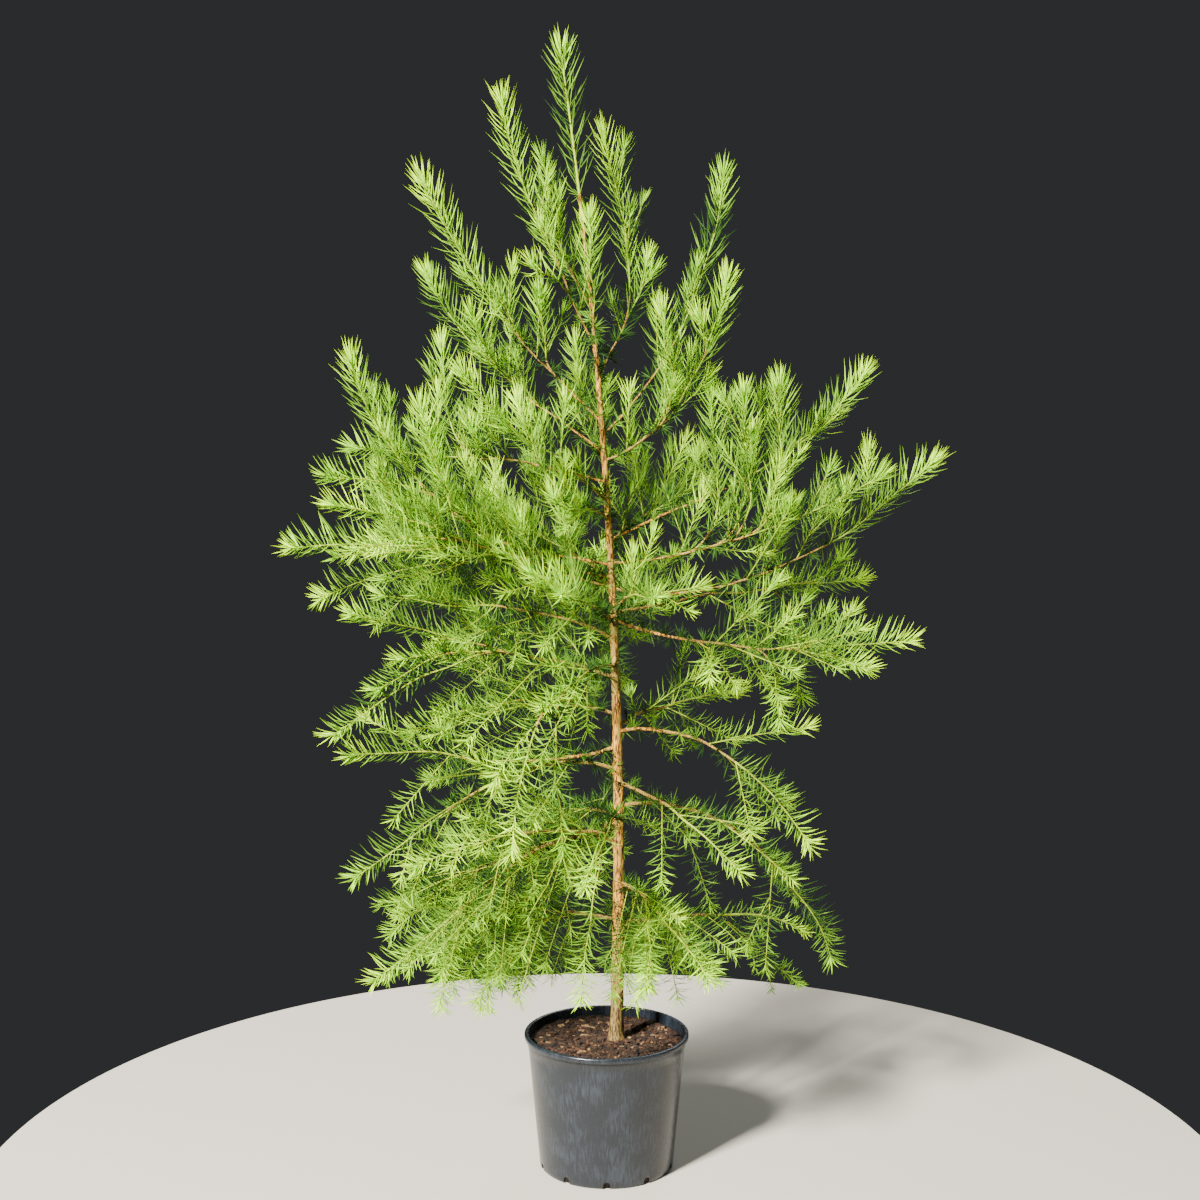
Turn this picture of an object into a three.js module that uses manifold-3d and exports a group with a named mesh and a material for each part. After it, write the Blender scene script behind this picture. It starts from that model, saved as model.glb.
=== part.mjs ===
// A young European larch in a nursery pot, in millimetres, +Z up. The origin is the centre of the
// pot's flat underside, -Y faces the viewer and +X is to the right.
//
// The trunk, the main boughs and the pot are plain solids. Each mass of foliage is one solid: a
// stem, the shoots that branch from it by a seeded rule, and sprays of needles fused to them.

import * as THREE from 'three';
import { mergeVertices } from 'three/addons/utils/BufferGeometryUtils.js';
import Module from 'manifold-3d';

const wasm = await Module();
wasm.setup();

// Pot: a 12 litre nursery container, moulded in one piece.
const POT_HEIGHT = 245;
const RIM_RADIUS = 147.5;
const LIP_HEIGHT = 10;
const LIP_WIDTH = 6;
const WALL_TOP_RADIUS = 141.5;
const FOOT_RADIUS = 120;
const FOOT_CHAMFER = 3;
const WALL = 2;
const FLOOR = 3;
const POT_SIDES = 40;
const DRAINS = 10;
const DRAIN_WIDTH = 12;
const DRAIN_HEIGHT = 13;
const DRAIN_DEPTH = 16;

// Compost: fills the pot to a little under the rim, lumpy except where the trunk stands.
const COMPOST_TOP = 230;
const LUMP = 4;
const COMPOST_RINGS = [0.85, 0.65, 0.45, 0];
const SMOOTH_MIDDLE = 0.5;
const GAP = 0.3;

// Trunk: one leaning line from the compost to the last bud. The wood ends where this year's
// leading shoot begins.
const TRUNK_LINE = [[17, 0, 230.3], [34, 6, 818], [4, -6, 1406], [-83, 0, 1994]];
const WOOD_SHARE = 0.845;
const FOOT_DIAMETER = 23;
const TIP_DIAMETER = 2.4;
const TAPER = 1.1;
const FLARE = 5;
const FLARE_HEIGHT = 16;
const TRUNK_SIDES = 12;
const TRUNK_STEPS = 22;
const STEP_GROWTH = 1.5;

// Limbs: a share of the trunk's radius where they leave it, and slim at the bud.
const LIMB_SHARE = 0.42;
const LIMB_MOST = 4.2;
const LIMB_LEAST = 1.9;
const BUD_RADIUS = 0.8;
const THREE_SIDED = 1.25;
const BOUGH_SIDES = 6;
const BOUGH_STEP = 28;

// Shoots: side shoots leave a stem every SHOOT_STEP, turned by the golden angle.
const SHOOT_STEP = 90;
const SHOOT_LENGTH = 180;
const SHOOT_RADIUS = 1.3;
const TWIG_END = 1;
const GOLDEN_ANGLE = 137.5;
const ALONG = 0.62;
const OUTWARD = 0.78;
const FULL_STEM = 400;
const LEAST_FULLNESS = 0.5;
const MOST_FULLNESS = 1.1;
const INNER_LENGTH = 1.15;
const OUTER_LOSS = 0.6;
const LEAST_LENGTH = 0.75;
const LENGTH_SPREAD = 0.5;
const SHORTEST_SHOOT = 60;
const LAST_SHOOT = 0.92;
const TRIES = 4;
const TRY_TURN = 50;
const TRY_SHORTER = 0.85;
const LEVEL_HEIGHT = 1030;
const LIFT_HEIGHT = 350;
const LIFT = 0.8;

// Sprays: each face of a three-sided shoot is drawn out to a blade of needles.
const SPRAY_STEP = 56;
const SPRAY_REACH = 40;
const REACH_SPREAD = 0.24;
const SPRAY_SPLAY = 56;
const TIP_SPLAY = 24;
const SPRAY_TWIST = 26;
const BUD_LENGTH = 16;
const BARE_ROOT = 24;
const BARE_STEM = 0.12;
const BARE_LEADER = 0.012;
const OLD_WOOD = 0.4;
const CLEARANCE = 0.6;

// One row for each limb that leaves the trunk. from: its height on the trunk. tip: its last bud.
// leave, end: its slope in degrees at the trunk and at the tip. bare: the length of a bough that
// carries no foliage; a row without it is foliage from the trunk on. forks: long side shoots, as
// [share of the way out, tip x, tip y, tip z, slope at the tip].
const LIMBS = [
  { name: 'top_left', from: 1458, tip: [-180, -60, 1895], leave: 63, end: 80,
    forks: [[0.2, -130, -110, 1620, 80]] },
  { name: 'top_back_left', from: 1527, tip: [-115, 60, 1810], leave: 50, end: 78 },
  { name: 'top_front', from: 1415, tip: [-30, -120, 1695], leave: 55, end: 80 },
  { name: 'top_back_right', from: 1407, tip: [75, 110, 1645], leave: 55, end: 82,
    forks: [[0.4, -10, 70, 1855, 80]] },
  { name: 'top_right', from: 1312, tip: [205, 60, 1785], leave: 40, end: 85, bare: 80 },
  { name: 'high_left', from: 1334, tip: [-320, -60, 1765], leave: 41, end: 69, bare: 95,
    forks: [[0.2, -120, -90, 1570, 50]] },
  { name: 'high_back_left', from: 1281, tip: [-325, 70, 1615], leave: 35, end: 68, bare: 90,
    forks: [[0.4, -225, -130, 1535, 80]] },
  { name: 'high_right', from: 1268, tip: [205, -70, 1600], leave: 15, end: 88,
    forks: [[0.25, 90, -120, 1545, 82], [0.6, 150, -110, 1535, 85]] },
  { name: 'high_back', from: 1250, tip: [-60, 300, 1500], leave: 35, end: 75 },
  { name: 'mid_back_left', from: 1229, tip: [-475, 90, 1290], leave: 18, end: 8, bare: 110,
    forks: [[0.45, -295, 110, 1495, 85], [0.35, -240, -60, 1350, 75]] },
  { name: 'high_front_left', from: 1195, tip: [-250, -170, 1440], leave: 42, end: 57 },
  { name: 'high_front', from: 1165, tip: [-95, -260, 1235], leave: 25, end: 45,
    forks: [[0.55, -150, -200, 1390, 85]] },
  { name: 'wide_right_high', from: 1129, tip: [465, 60, 1440], leave: 25, end: 62, bare: 120 },
  { name: 'mid_back_right', from: 1120, tip: [190, 370, 1290], leave: 25, end: 50 },
  { name: 'mid_right', from: 1090, tip: [485, -110, 1260], leave: 0, end: 30,
    forks: [[0.25, 180, -40, 1405, 85], [0.38, 230, -100, 1405, 82], [0.45, 295, -60, 1425, 85],
      [0.35, 255, -20, 1335, 80]] },
  { name: 'long_left', from: 1085, tip: [-575, -30, 1115], leave: 12, end: -5, bare: 120 },
  { name: 'front_left', from: 1046, tip: [-475, -200, 1205], leave: 15, end: 8,
    forks: [[0.5, -435, -240, 1125, -5]] },
  { name: 'mid_back', from: 1060, tip: [-230, 390, 1210], leave: 20, end: 35 },
  { name: 'mid_left', from: 1065, tip: [-435, -80, 1465], leave: 5, end: 85, bare: 120,
    forks: [[0.35, -315, -120, 1385, 80], [0.5, -495, -120, 1250, 15]] },
  { name: 'long_right', from: 1045, tip: [580, -40, 1285], leave: -15, end: 45, bare: 130 },
  { name: 'wide_back_left', from: 1050, tip: [-535, 80, 1005], leave: 25, end: -30 },
  { name: 'front_right', from: 1010, tip: [85, -300, 1065], leave: 22, end: 10 },
  { name: 'wide_back_right', from: 1000, tip: [495, 160, 1045], leave: 10, end: 0,
    forks: [[0.55, 370, 150, 805, -55], [0.7, 455, 190, 1100, 30]] },
  { name: 'wide_right', from: 990, tip: [545, -90, 965], leave: -22, end: 5, bare: 120,
    forks: [[0.55, 465, -130, 915, -10], [0.26, 175, -130, 880, -85], [0.45, 305, -60, 790, -70]] },
  { name: 'front_centre', from: 985, tip: [-80, -380, 1080], leave: 20, end: 15,
    forks: [[0.6, -135, -340, 1120, 40]] },
  { name: 'wide_front_left', from: 955, tip: [-415, -60, 1045], leave: 30, end: 15 },
  { name: 'long_back', from: 930, tip: [-30, 480, 960], leave: 10, end: -5 },
  { name: 'low_front', from: 905, tip: [-110, -340, 885], leave: 15, end: 0,
    forks: [[0.6, -190, -280, 730, -85], [0.7, -70, -270, 610, -88], [0.85, -155, -330, 625, -85]] },
  { name: 'low_front_left', from: 885, tip: [-380, -100, 925], leave: 22, end: -15,
    forks: [[0.45, -450, -180, 1025, 12], [0.65, -410, -160, 880, -20], [0.4, -480, -190, 805, -25]] },
  { name: 'low_back_left', from: 820, tip: [-330, 300, 760], leave: 10, end: -20,
    forks: [[0.06, -370, -60, 790, -20]] },
  { name: 'low_back_right', from: 800, tip: [265, 260, 815], leave: 15, end: -10 },
  { name: 'low_right', from: 790, tip: [365, -90, 580], leave: 18, end: -65, bare: 100 },
  { name: 'wide_left', from: 765, tip: [-460, -150, 770], leave: -20, end: -10, bare: 120 },
  { name: 'drooping_left', from: 720, tip: [-460, -80, 530], leave: 25, end: -35 },
  { name: 'drooping_right', from: 699, tip: [240, -200, 570], leave: -5, end: -35 },
  { name: 'foot_right', from: 655, tip: [415, 50, 335], leave: 15, end: -80 },
  { name: 'foot_front', from: 640, tip: [-40, -380, 600], leave: 15, end: -10,
    forks: [[0.5, -45, -240, 355, -80]] },
  { name: 'foot_back', from: 630, tip: [-90, 390, 520], leave: 0, end: -35 },
  { name: 'foot_back_left', from: 620, tip: [-410, 90, 380], leave: -15, end: -50 },
  { name: 'foot_front_left', from: 610, tip: [-345, -170, 575], leave: 5, end: -28 },
  { name: 'lowest_left', from: 590, tip: [-430, -70, 345], leave: 25, end: -30,
    forks: [[0.5, -300, -120, 355, -45]] },
  { name: 'lowest_front', from: 518, tip: [180, -240, 390], leave: 0, end: -45,
    forks: [[0.12, 65, -250, 380, -80]] },
  { name: 'lowest_back', from: 500, tip: [120, 320, 340], leave: 0, end: -35 },
  { name: 'lowest_back_left', from: 450, tip: [-390, 50, 455], leave: 8, end: -3,
    forks: [[0.25, -225, -60, 335, -45]] },
  { name: 'lowest_right', from: 445, tip: [390, 150, 365], leave: -5, end: -50,
    forks: [[0.35, 385, 200, 255, -30]] },
];

// The crown's outline, which side shoots keep inside: [height, reach to the left, reach to the
// right] from the trunk. To the front and back it reaches CROWN_DEPTH of the middle of the two.
const CROWN = [[250, 330, 330], [345, 440, 430], [525, 470, 390], [800, 490, 390], [950, 500, 560],
  [1115, 585, 480], [1280, 500, 590], [1440, 440, 470], [1610, 330, 215], [1770, 325, 210],
  [1890, 185, 60], [1994, 95, 60]];
const CROWN_DEPTH = 0.85;

const UP = new THREE.Vector3(0, 0, 1);
const degrees = THREE.MathUtils.degToRad;

/** The same number between 0 and 1 every time for the same three whole numbers. */
function chance(i, j, k) {
  const wave = Math.sin(i * 12.9898 + j * 78.233 + k * 37.719) * 43758.5453;
  return wave - Math.floor(wave);
}

/** A closed geometry as a solid that can be joined and cut. */
function toSolid(geometry) {
  geometry.deleteAttribute('normal');
  geometry.deleteAttribute('uv');
  const merged = mergeVertices(geometry, 1e-4);
  return new wasm.Manifold(new wasm.Mesh({
    numProp: 3,
    vertProperties: new Float32Array(merged.attributes.position.array),
    triVerts: new Uint32Array(merged.index.array),
  }));
}

/** A joined or cut solid as a geometry: its largest piece, without hollows sealed inside. */
function toGeometry(solid) {
  const pieces = solid.decompose();
  const largest = pieces.reduce((a, b) => (a.volume() > b.volume() ? a : b));
  const mesh = largest.getMesh();
  const geometry = new THREE.BufferGeometry();
  geometry.setAttribute('position', new THREE.BufferAttribute(new Float32Array(mesh.vertProperties), 3));
  geometry.setIndex(new THREE.BufferAttribute(new Uint32Array(mesh.triVerts), 1));
  geometry.computeVertexNormals();
  return geometry;
}

/** Even places along a stretch of a curve, each with its direction and two directions across. */
function framesAlong(curve, from, to, steps) {
  const frames = [];
  let across = Math.abs(curve.getTangentAt(from).z) > 0.9 ? new THREE.Vector3(1, 0, 0) : UP;
  for (let k = 0; k <= steps; k++) {
    const share = from + ((to - from) * k) / steps;
    const along = curve.getTangentAt(share);
    across = across.clone().addScaledVector(along, -across.dot(along)).normalize();
    frames.push({ point: curve.getPointAt(share), along, across, beside: along.clone().cross(across) });
  }
  return frames;
}

/** The ring of points round frame k, turned by twist degrees for each step. */
function ringPoints(frame, k, sides, radius, twist) {
  return Array.from({ length: sides }, (_, j) => {
    const angle = (2 * Math.PI * j) / sides + degrees(twist * k);
    return frame.point.clone()
      .addScaledVector(frame.across, radius * Math.cos(angle))
      .addScaledVector(frame.beside, radius * Math.sin(angle));
  });
}

/** A closed limb through frames. Where spray(k, j) gives a point, face j of step k is drawn out to it. */
function limbGeometry(frames, radiusAt, sides, { twist = 0, bud = 0, spray = () => null } = {}) {
  const last = frames.length - 1;
  const points = frames.flatMap((frame, k) => ringPoints(frame, k, sides, radiusAt(k / last), twist));
  const faces = [];
  for (let k = 0; k < last; k++) {
    for (let j = 0; j < sides; j++) {
      const next = (j + 1) % sides;
      const [a, b, c, d] = [k * sides + j, k * sides + next, (k + 1) * sides + next, (k + 1) * sides + j];
      const peak = spray(k, j);
      if (peak) {
        points.push(peak);
        const p = points.length - 1;
        faces.push(a, b, p, b, c, p, c, d, p, d, a, p);
      } else {
        faces.push(a, b, c, a, c, d);
      }
    }
  }
  for (let j = 1; j < sides - 1; j++) faces.push(0, j + 1, j);
  const end = last * sides;
  if (bud > 0) {
    points.push(frames[last].point.clone().addScaledVector(frames[last].along, bud));
    for (let j = 0; j < sides; j++) faces.push(end + j, end + ((j + 1) % sides), points.length - 1);
  } else {
    for (let j = 1; j < sides - 1; j++) faces.push(end, end + j, end + j + 1);
  }
  const geometry = new THREE.BufferGeometry().setFromPoints(points);
  geometry.setIndex(faces);
  return geometry;
}

// The trunk's line, and its point at a height.
const trunkLine = new THREE.CubicBezierCurve3(...TRUNK_LINE.map((p) => new THREE.Vector3(...p)));
const trunkFoot = TRUNK_LINE[0][2];
const trunkHeight = TRUNK_LINE[3][2] - trunkFoot;
const trunkPoint = (height) => trunkLine.getPoint((height - trunkFoot) / trunkHeight);

/** The trunk's radius at a share of the way up: an even taper with a flare at the foot. */
function trunkRadius(share) {
  const wood = (TIP_DIAMETER + (FOOT_DIAMETER - TIP_DIAMETER) * (1 - share) ** TAPER) / 2;
  return wood + FLARE * Math.exp((-share * trunkHeight) / FLARE_HEIGHT);
}

/** The trunk, with level rings so that its foot is a flat cut. They close up towards the flare. */
function trunkGeometry(extra) {
  const frames = [];
  for (let k = 0; k <= TRUNK_STEPS; k++) {
    const share = WOOD_SHARE * (k / TRUNK_STEPS) ** STEP_GROWTH;
    frames.push({ point: trunkLine.getPointAt(share), along: UP, across: new THREE.Vector3(1, 0, 0),
      beside: new THREE.Vector3(0, 1, 0) });
  }
  return limbGeometry(frames, (s) => trunkRadius(WOOD_SHARE * s ** STEP_GROWTH) + extra, TRUNK_SIDES);
}

/** The pot's wall as a closed outline turned round its axis, less the drain slots at its foot. */
function potSolid() {
  const lipBottom = POT_HEIGHT - LIP_HEIGHT;
  const lipRound = LIP_WIDTH / 3;
  const outline = [
    [0, 0],
    [FOOT_RADIUS - FOOT_CHAMFER, 0],
    [FOOT_RADIUS, FOOT_CHAMFER],
    [WALL_TOP_RADIUS, lipBottom],
    [RIM_RADIUS, lipBottom + lipRound],
    [RIM_RADIUS, POT_HEIGHT - lipRound],
    [RIM_RADIUS - lipRound, POT_HEIGHT],
    [WALL_TOP_RADIUS - WALL + lipRound, POT_HEIGHT],
    [WALL_TOP_RADIUS - WALL, POT_HEIGHT - lipRound],
    [FOOT_RADIUS - WALL, FLOOR],
    [0, FLOOR],
  ];
  const lathe = new THREE.LatheGeometry(outline.map(([r, z]) => new THREE.Vector2(r, z)), POT_SIDES);
  let solid = toSolid(lathe.rotateX(Math.PI / 2));
  for (let i = 0; i < DRAINS; i++) {
    const slot = new THREE.BoxGeometry(DRAIN_DEPTH, DRAIN_WIDTH, DRAIN_HEIGHT * 2);
    slot.translate(FOOT_RADIUS, 0, 0).rotateZ((2 * Math.PI * (i + 0.5)) / DRAINS);
    solid = solid.subtract(toSolid(slot));
  }
  return solid;
}

/** The compost as a plug that fits the pot's inside, with lumps that fade out round the trunk. */
function compostGeometry() {
  const wallSlope = (WALL_TOP_RADIUS - FOOT_RADIUS) / (POT_HEIGHT - LIP_WIDTH / 3 - FLOOR);
  const insideRadius = (z) => FOOT_RADIUS - WALL + wallSlope * (z - FLOOR) - GAP * 1.5;
  const edge = insideRadius(COMPOST_TOP - LUMP);
  const bottom = FLOOR + GAP;
  const outline = [[0, bottom], [insideRadius(bottom) - 1, bottom], [edge, COMPOST_TOP - LUMP]];
  for (const share of COMPOST_RINGS) outline.push([edge * share, COMPOST_TOP]);
  const lathe = new THREE.LatheGeometry(outline.map(([r, z]) => new THREE.Vector2(r, z)), POT_SIDES);
  lathe.rotateX(Math.PI / 2);
  const place = lathe.attributes.position;
  for (let i = 0; i < place.count; i++) {
    const [x, y] = [place.getX(i), place.getY(i)];
    const isLumpy = place.getZ(i) > COMPOST_TOP - 1 && Math.hypot(x, y) > edge * SMOOTH_MIDDLE;
    if (isLumpy) place.setZ(i, COMPOST_TOP + LUMP * (chance(Math.round(x), Math.round(y), 5) - 0.7));
  }
  return lathe;
}

/** A limb's line: it leaves the trunk's middle at one slope and reaches its bud at another. */
function limbLine(start, leaveDirection, tip, endSlope) {
  const third = start.distanceTo(tip) / 3;
  const turn = Math.atan2(tip.y - start.y, tip.x - start.x);
  const endDirection = new THREE.Vector3(Math.cos(turn), Math.sin(turn), 0)
    .multiplyScalar(Math.cos(degrees(endSlope))).addScaledVector(UP, Math.sin(degrees(endSlope)));
  return new THREE.CubicBezierCurve3(start, start.clone().addScaledVector(leaveDirection, third),
    tip.clone().addScaledVector(endDirection, -third), tip);
}

/** The line of a row of LIMBS. */
function rowLine(row) {
  const start = trunkPoint(row.from);
  const tip = new THREE.Vector3(...row.tip);
  const turn = Math.atan2(tip.y - start.y, tip.x - start.x);
  const slope = degrees(row.leave);
  const leave = new THREE.Vector3(Math.cos(turn) * Math.cos(slope), Math.sin(turn) * Math.cos(slope),
    Math.sin(slope));
  return limbLine(start, leave, tip, row.end);
}

/** The line of side shoot i of a stem: out and along, raised high in the crown, hanging low in it. */
function sideLine(stem, i, share, length, turn) {
  const start = stem.line.getPointAt(share);
  const along = stem.line.getTangentAt(share);
  const flat = new THREE.Vector3().crossVectors(along, UP).normalize();
  const above = new THREE.Vector3().crossVectors(flat, along);
  const roll = degrees(GOLDEN_ANGLE * i + turn);
  const lift = LIFT * THREE.MathUtils.clamp((start.z - LEVEL_HEIGHT) / LIFT_HEIGHT, -1, 1);
  const leave = along.clone().multiplyScalar(ALONG)
    .addScaledVector(flat, OUTWARD * Math.cos(roll)).addScaledVector(above, OUTWARD * Math.sin(roll))
    .addScaledVector(UP, lift).normalize();
  const bend = leave.clone().addScaledVector(UP, lift / 2).normalize();
  const middle = start.clone().addScaledVector(leave, length / 2);
  return new THREE.QuadraticBezierCurve3(start, middle, middle.clone().addScaledVector(bend, length / 2));
}

/** Whether a point lies inside the crown's outline: an ellipse round the trunk at its height. */
function isInCrown(point) {
  const above = CROWN.findIndex(([height]) => height > point.z);
  if (above < 1) return false;
  const [[low, lowLeft, lowRight], [high, highLeft, highRight]] = [CROWN[above - 1], CROWN[above]];
  const share = (point.z - low) / (high - low);
  const left = THREE.MathUtils.lerp(lowLeft, highLeft, share);
  const right = THREE.MathUtils.lerp(lowRight, highRight, share);
  const middle = trunkPoint(point.z);
  const across = (point.x - middle.x) / (point.x > middle.x ? right : left);
  const deep = (point.y - middle.y) / (((left + right) / 2) * CROWN_DEPTH);
  return Math.hypot(across, deep) < 1;
}

const standing = [];

/** Puts a solid on the list of everything that stands so far. */
function stands(owner, solid) {
  standing.push({ owner, solid, box: solid.boundingBox() });
}

/** Whether a solid keeps clear of all that stands, apart from what has the same owner. */
function isClear(solid, owner = null) {
  const box = solid.boundingBox();
  const isBeside = (other) => [0, 1, 2].some((axis) => box.min[axis] - CLEARANCE > other.box.max[axis]
    || other.box.min[axis] - CLEARANCE > box.max[axis]);
  return standing.every((other) => other.owner === owner || isBeside(other)
    || solid.minGap(other.solid, CLEARANCE) >= CLEARANCE);
}

/** The blade of needles on face j of step k: from the face out and forwards to the needles' tips. */
function sprayPeak(frames, k, j, reach) {
  const last = frames.length - 1;
  const splay = degrees(k === last - 1 ? TIP_SPLAY : SPRAY_SPLAY);
  const angle = (2 * Math.PI * (j + 0.5)) / 3 + degrees(SPRAY_TWIST * (k + 0.5));
  const middle = frames[k].point.clone().lerp(frames[k + 1].point, 0.5);
  return middle.addScaledVector(frames[k].along, reach * Math.cos(splay))
    .addScaledVector(frames[k].across, reach * Math.sin(splay) * Math.cos(angle))
    .addScaledVector(frames[k].beside, reach * Math.sin(splay) * Math.sin(angle));
}

/** A shoot with its sprays; where mayFail, null if even its bare twig would touch what stands. */
function growShoot(owner, line, from, rootRadius, tipRadius, dressedFrom, mayFail = false) {
  const length = line.getLength();
  const steps = Math.max(2, Math.round((length * (1 - from)) / SPRAY_STEP));
  const to = 1 - BUD_LENGTH / length;
  const frames = framesAlong(line, from, to, steps);
  const radiusAt = (share) => rootRadius + (tipRadius - rootRadius) * share;
  const twig = limbGeometry(frames, radiusAt, 3, { twist: SPRAY_TWIST, bud: BUD_LENGTH });
  if (mayFail && !isClear(toSolid(twig), owner)) return null;
  const peaks = new Map();
  for (let k = 0; k < steps; k++) {
    if (from + ((to - from) * (k + 0.5)) / steps < dressedFrom) continue;
    const rings = [k, k + 1].flatMap((n) => ringPoints(frames[n], n, 3, radiusAt(n / steps), SPRAY_TWIST));
    for (let j = 0; j < 3; j++) {
      const reach = SPRAY_REACH * (1 + REACH_SPREAD * (chance(k, j, Math.round(length)) - 0.5));
      const peak = sprayPeak(frames, k, j, reach);
      const next = (j + 1) % 3;
      const corners = [rings[j], rings[next], rings[3 + next], rings[3 + j], peak];
      const blade = new THREE.BufferGeometry().setFromPoints(corners);
      blade.setIndex([0, 1, 4, 1, 2, 4, 2, 3, 4, 3, 0, 4, 0, 2, 1, 0, 3, 2]);
      if (isClear(toSolid(blade))) peaks.set(`${k},${j}`, peak);
    }
  }
  const dressed = limbGeometry(frames, radiusAt, 3,
    { twist: SPRAY_TWIST, bud: BUD_LENGTH, spray: (k, j) => peaks.get(`${k},${j}`) });
  const solid = toSolid(dressed);
  stands(owner, solid);
  return solid;
}

const group = new THREE.Group();

/** Adds one named piece to the plant. */
function addPiece(name, geometry, material) {
  const mesh = new THREE.Mesh(geometry, material);
  mesh.name = name;
  group.add(mesh);
}

const plastic = new THREE.MeshStandardMaterial({ color: 0x23282d, roughness: 0.45, metalness: 0 });
const compost = new THREE.MeshStandardMaterial({ color: 0x4a3022, roughness: 1, metalness: 0 });
const bark = new THREE.MeshStandardMaterial({ color: 0x9b7b52, roughness: 0.85, metalness: 0 });
const needles = new THREE.MeshStandardMaterial({ color: 0x76a548, roughness: 0.6, metalness: 0 });

// The pot and its filling, and the trunk that stands on it.
const pot = potSolid();
stands('pot', pot);
addPiece('pot', toGeometry(pot), plastic);
const filling = toSolid(compostGeometry());
stands('compost', filling);
addPiece('compost', toGeometry(filling), compost);
const trunk = toSolid(trunkGeometry(0));
stands('trunk', trunk);
addPiece('trunk', toGeometry(trunk), bark);
const trunkRoom = toSolid(trunkGeometry(GAP * 1.2));

// The boughs, each from the trunk's side to where its foliage begins.
const stems = LIMBS.map((row, i) => {
  const line = rowLine(row);
  const rootShare = (row.from - trunkFoot) / trunkHeight;
  const root = THREE.MathUtils.clamp(trunkRadius(rootShare) * LIMB_SHARE, LIMB_LEAST, LIMB_MOST);
  return { ...row, id: i, line, root, length: line.getLength(), shoots: [] };
});
for (const stem of stems.filter((s) => s.bare)) {
  const share = stem.bare / stem.length;
  const frames = framesAlong(stem.line, 0, share, Math.ceil(stem.bare / BOUGH_STEP));
  const radiusAt = (s) => stem.root + (BUD_RADIUS - stem.root) * share * s;
  const solid = toSolid(limbGeometry(frames, radiusAt, BOUGH_SIDES)).subtract(trunkRoom);
  stands(stem.name, solid);
  addPiece(`bough_${stem.name}`, toGeometry(solid), bark);
}

// This year's leading shoot, on the trunk's cut top.
const leaderFrom = WOOD_SHARE + (GAP * 2) / trunkLine.getLength();
const leader = { name: 'leader', shoots: [] };
leader.shoots.push(
  growShoot('leader', trunkLine, leaderFrom, trunkRadius(WOOD_SHARE), TWIG_END, leaderFrom + BARE_LEADER));

// Every mass's stem comes first, then the long forks, then the side shoots turn by turn, so that
// each mass has its share of the room.
for (const stem of stems) {
  const from = stem.bare ? (stem.bare + GAP) / stem.length : 0;
  const rootRadius = (stem.root + (BUD_RADIUS - stem.root) * from) * THREE_SIDED;
  stem.dressed = (stem.bare ?? 0) / stem.length + BARE_STEM;
  const dressedFrom = Math.max(stem.dressed, OLD_WOOD);
  stem.shoots.push(growShoot(stem.name, stem.line, from, rootRadius, TWIG_END, dressedFrom));
}
for (const stem of stems) {
  for (const [share, x, y, z, slope] of stem.forks ?? []) {
    const leave = stem.line.getTangentAt(share).clone();
    const line = limbLine(stem.line.getPointAt(share), leave, new THREE.Vector3(x, y, z), slope);
    const solid = growShoot(stem.name, line, 0, SHOOT_RADIUS, TWIG_END, OLD_WOOD / 2, true);
    if (solid) stem.shoots.push(solid);
  }
}
const roundsOfShoots = Math.ceil(Math.max(...stems.map((s) => s.length)) / SHOOT_STEP);
for (let i = 0; i < roundsOfShoots; i++) {
  for (const stem of stems) {
    const share = stem.dressed + (i + 0.3 + 0.4 * chance(stem.id, i, 1)) * (SHOOT_STEP / stem.length);
    if (share > LAST_SHOOT) continue;
    const fullness = THREE.MathUtils.clamp(stem.length / FULL_STEM, LEAST_FULLNESS, MOST_FULLNESS)
      * (INNER_LENGTH - OUTER_LOSS * share);
    let length = SHOOT_LENGTH * fullness * (LEAST_LENGTH + LENGTH_SPREAD * chance(stem.id, i, 2));
    for (let attempt = 0; attempt < TRIES && length > SHORTEST_SHOOT; attempt++) {
      const line = sideLine(stem, i, share, length, TRY_TURN * attempt + 360 * chance(stem.id, 0, 3));
      const solid = isInCrown(line.v2)
        && growShoot(stem.name, line, 0, SHOOT_RADIUS, TWIG_END, BARE_ROOT / length, true);
      if (solid) {
        stem.shoots.push(solid);
        break;
      }
      length *= TRY_SHORTER;
    }
  }
}
for (const stem of [leader, ...stems]) {
  const mass = wasm.Manifold.union(stem.shoots).subtract(trunkRoom).simplify(0.05);
  addPiece(`mass_${stem.name}`, toGeometry(mass), needles);
}

export default group;
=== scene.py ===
# A young European larch in a nursery pot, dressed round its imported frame. Sizes are in
# millimetres, heights start at the ground, and the sections follow the plant as it is potted:
# the pot, the trunk, the compost round its foot, then the boughs, twigs and needles.

import math

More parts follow.
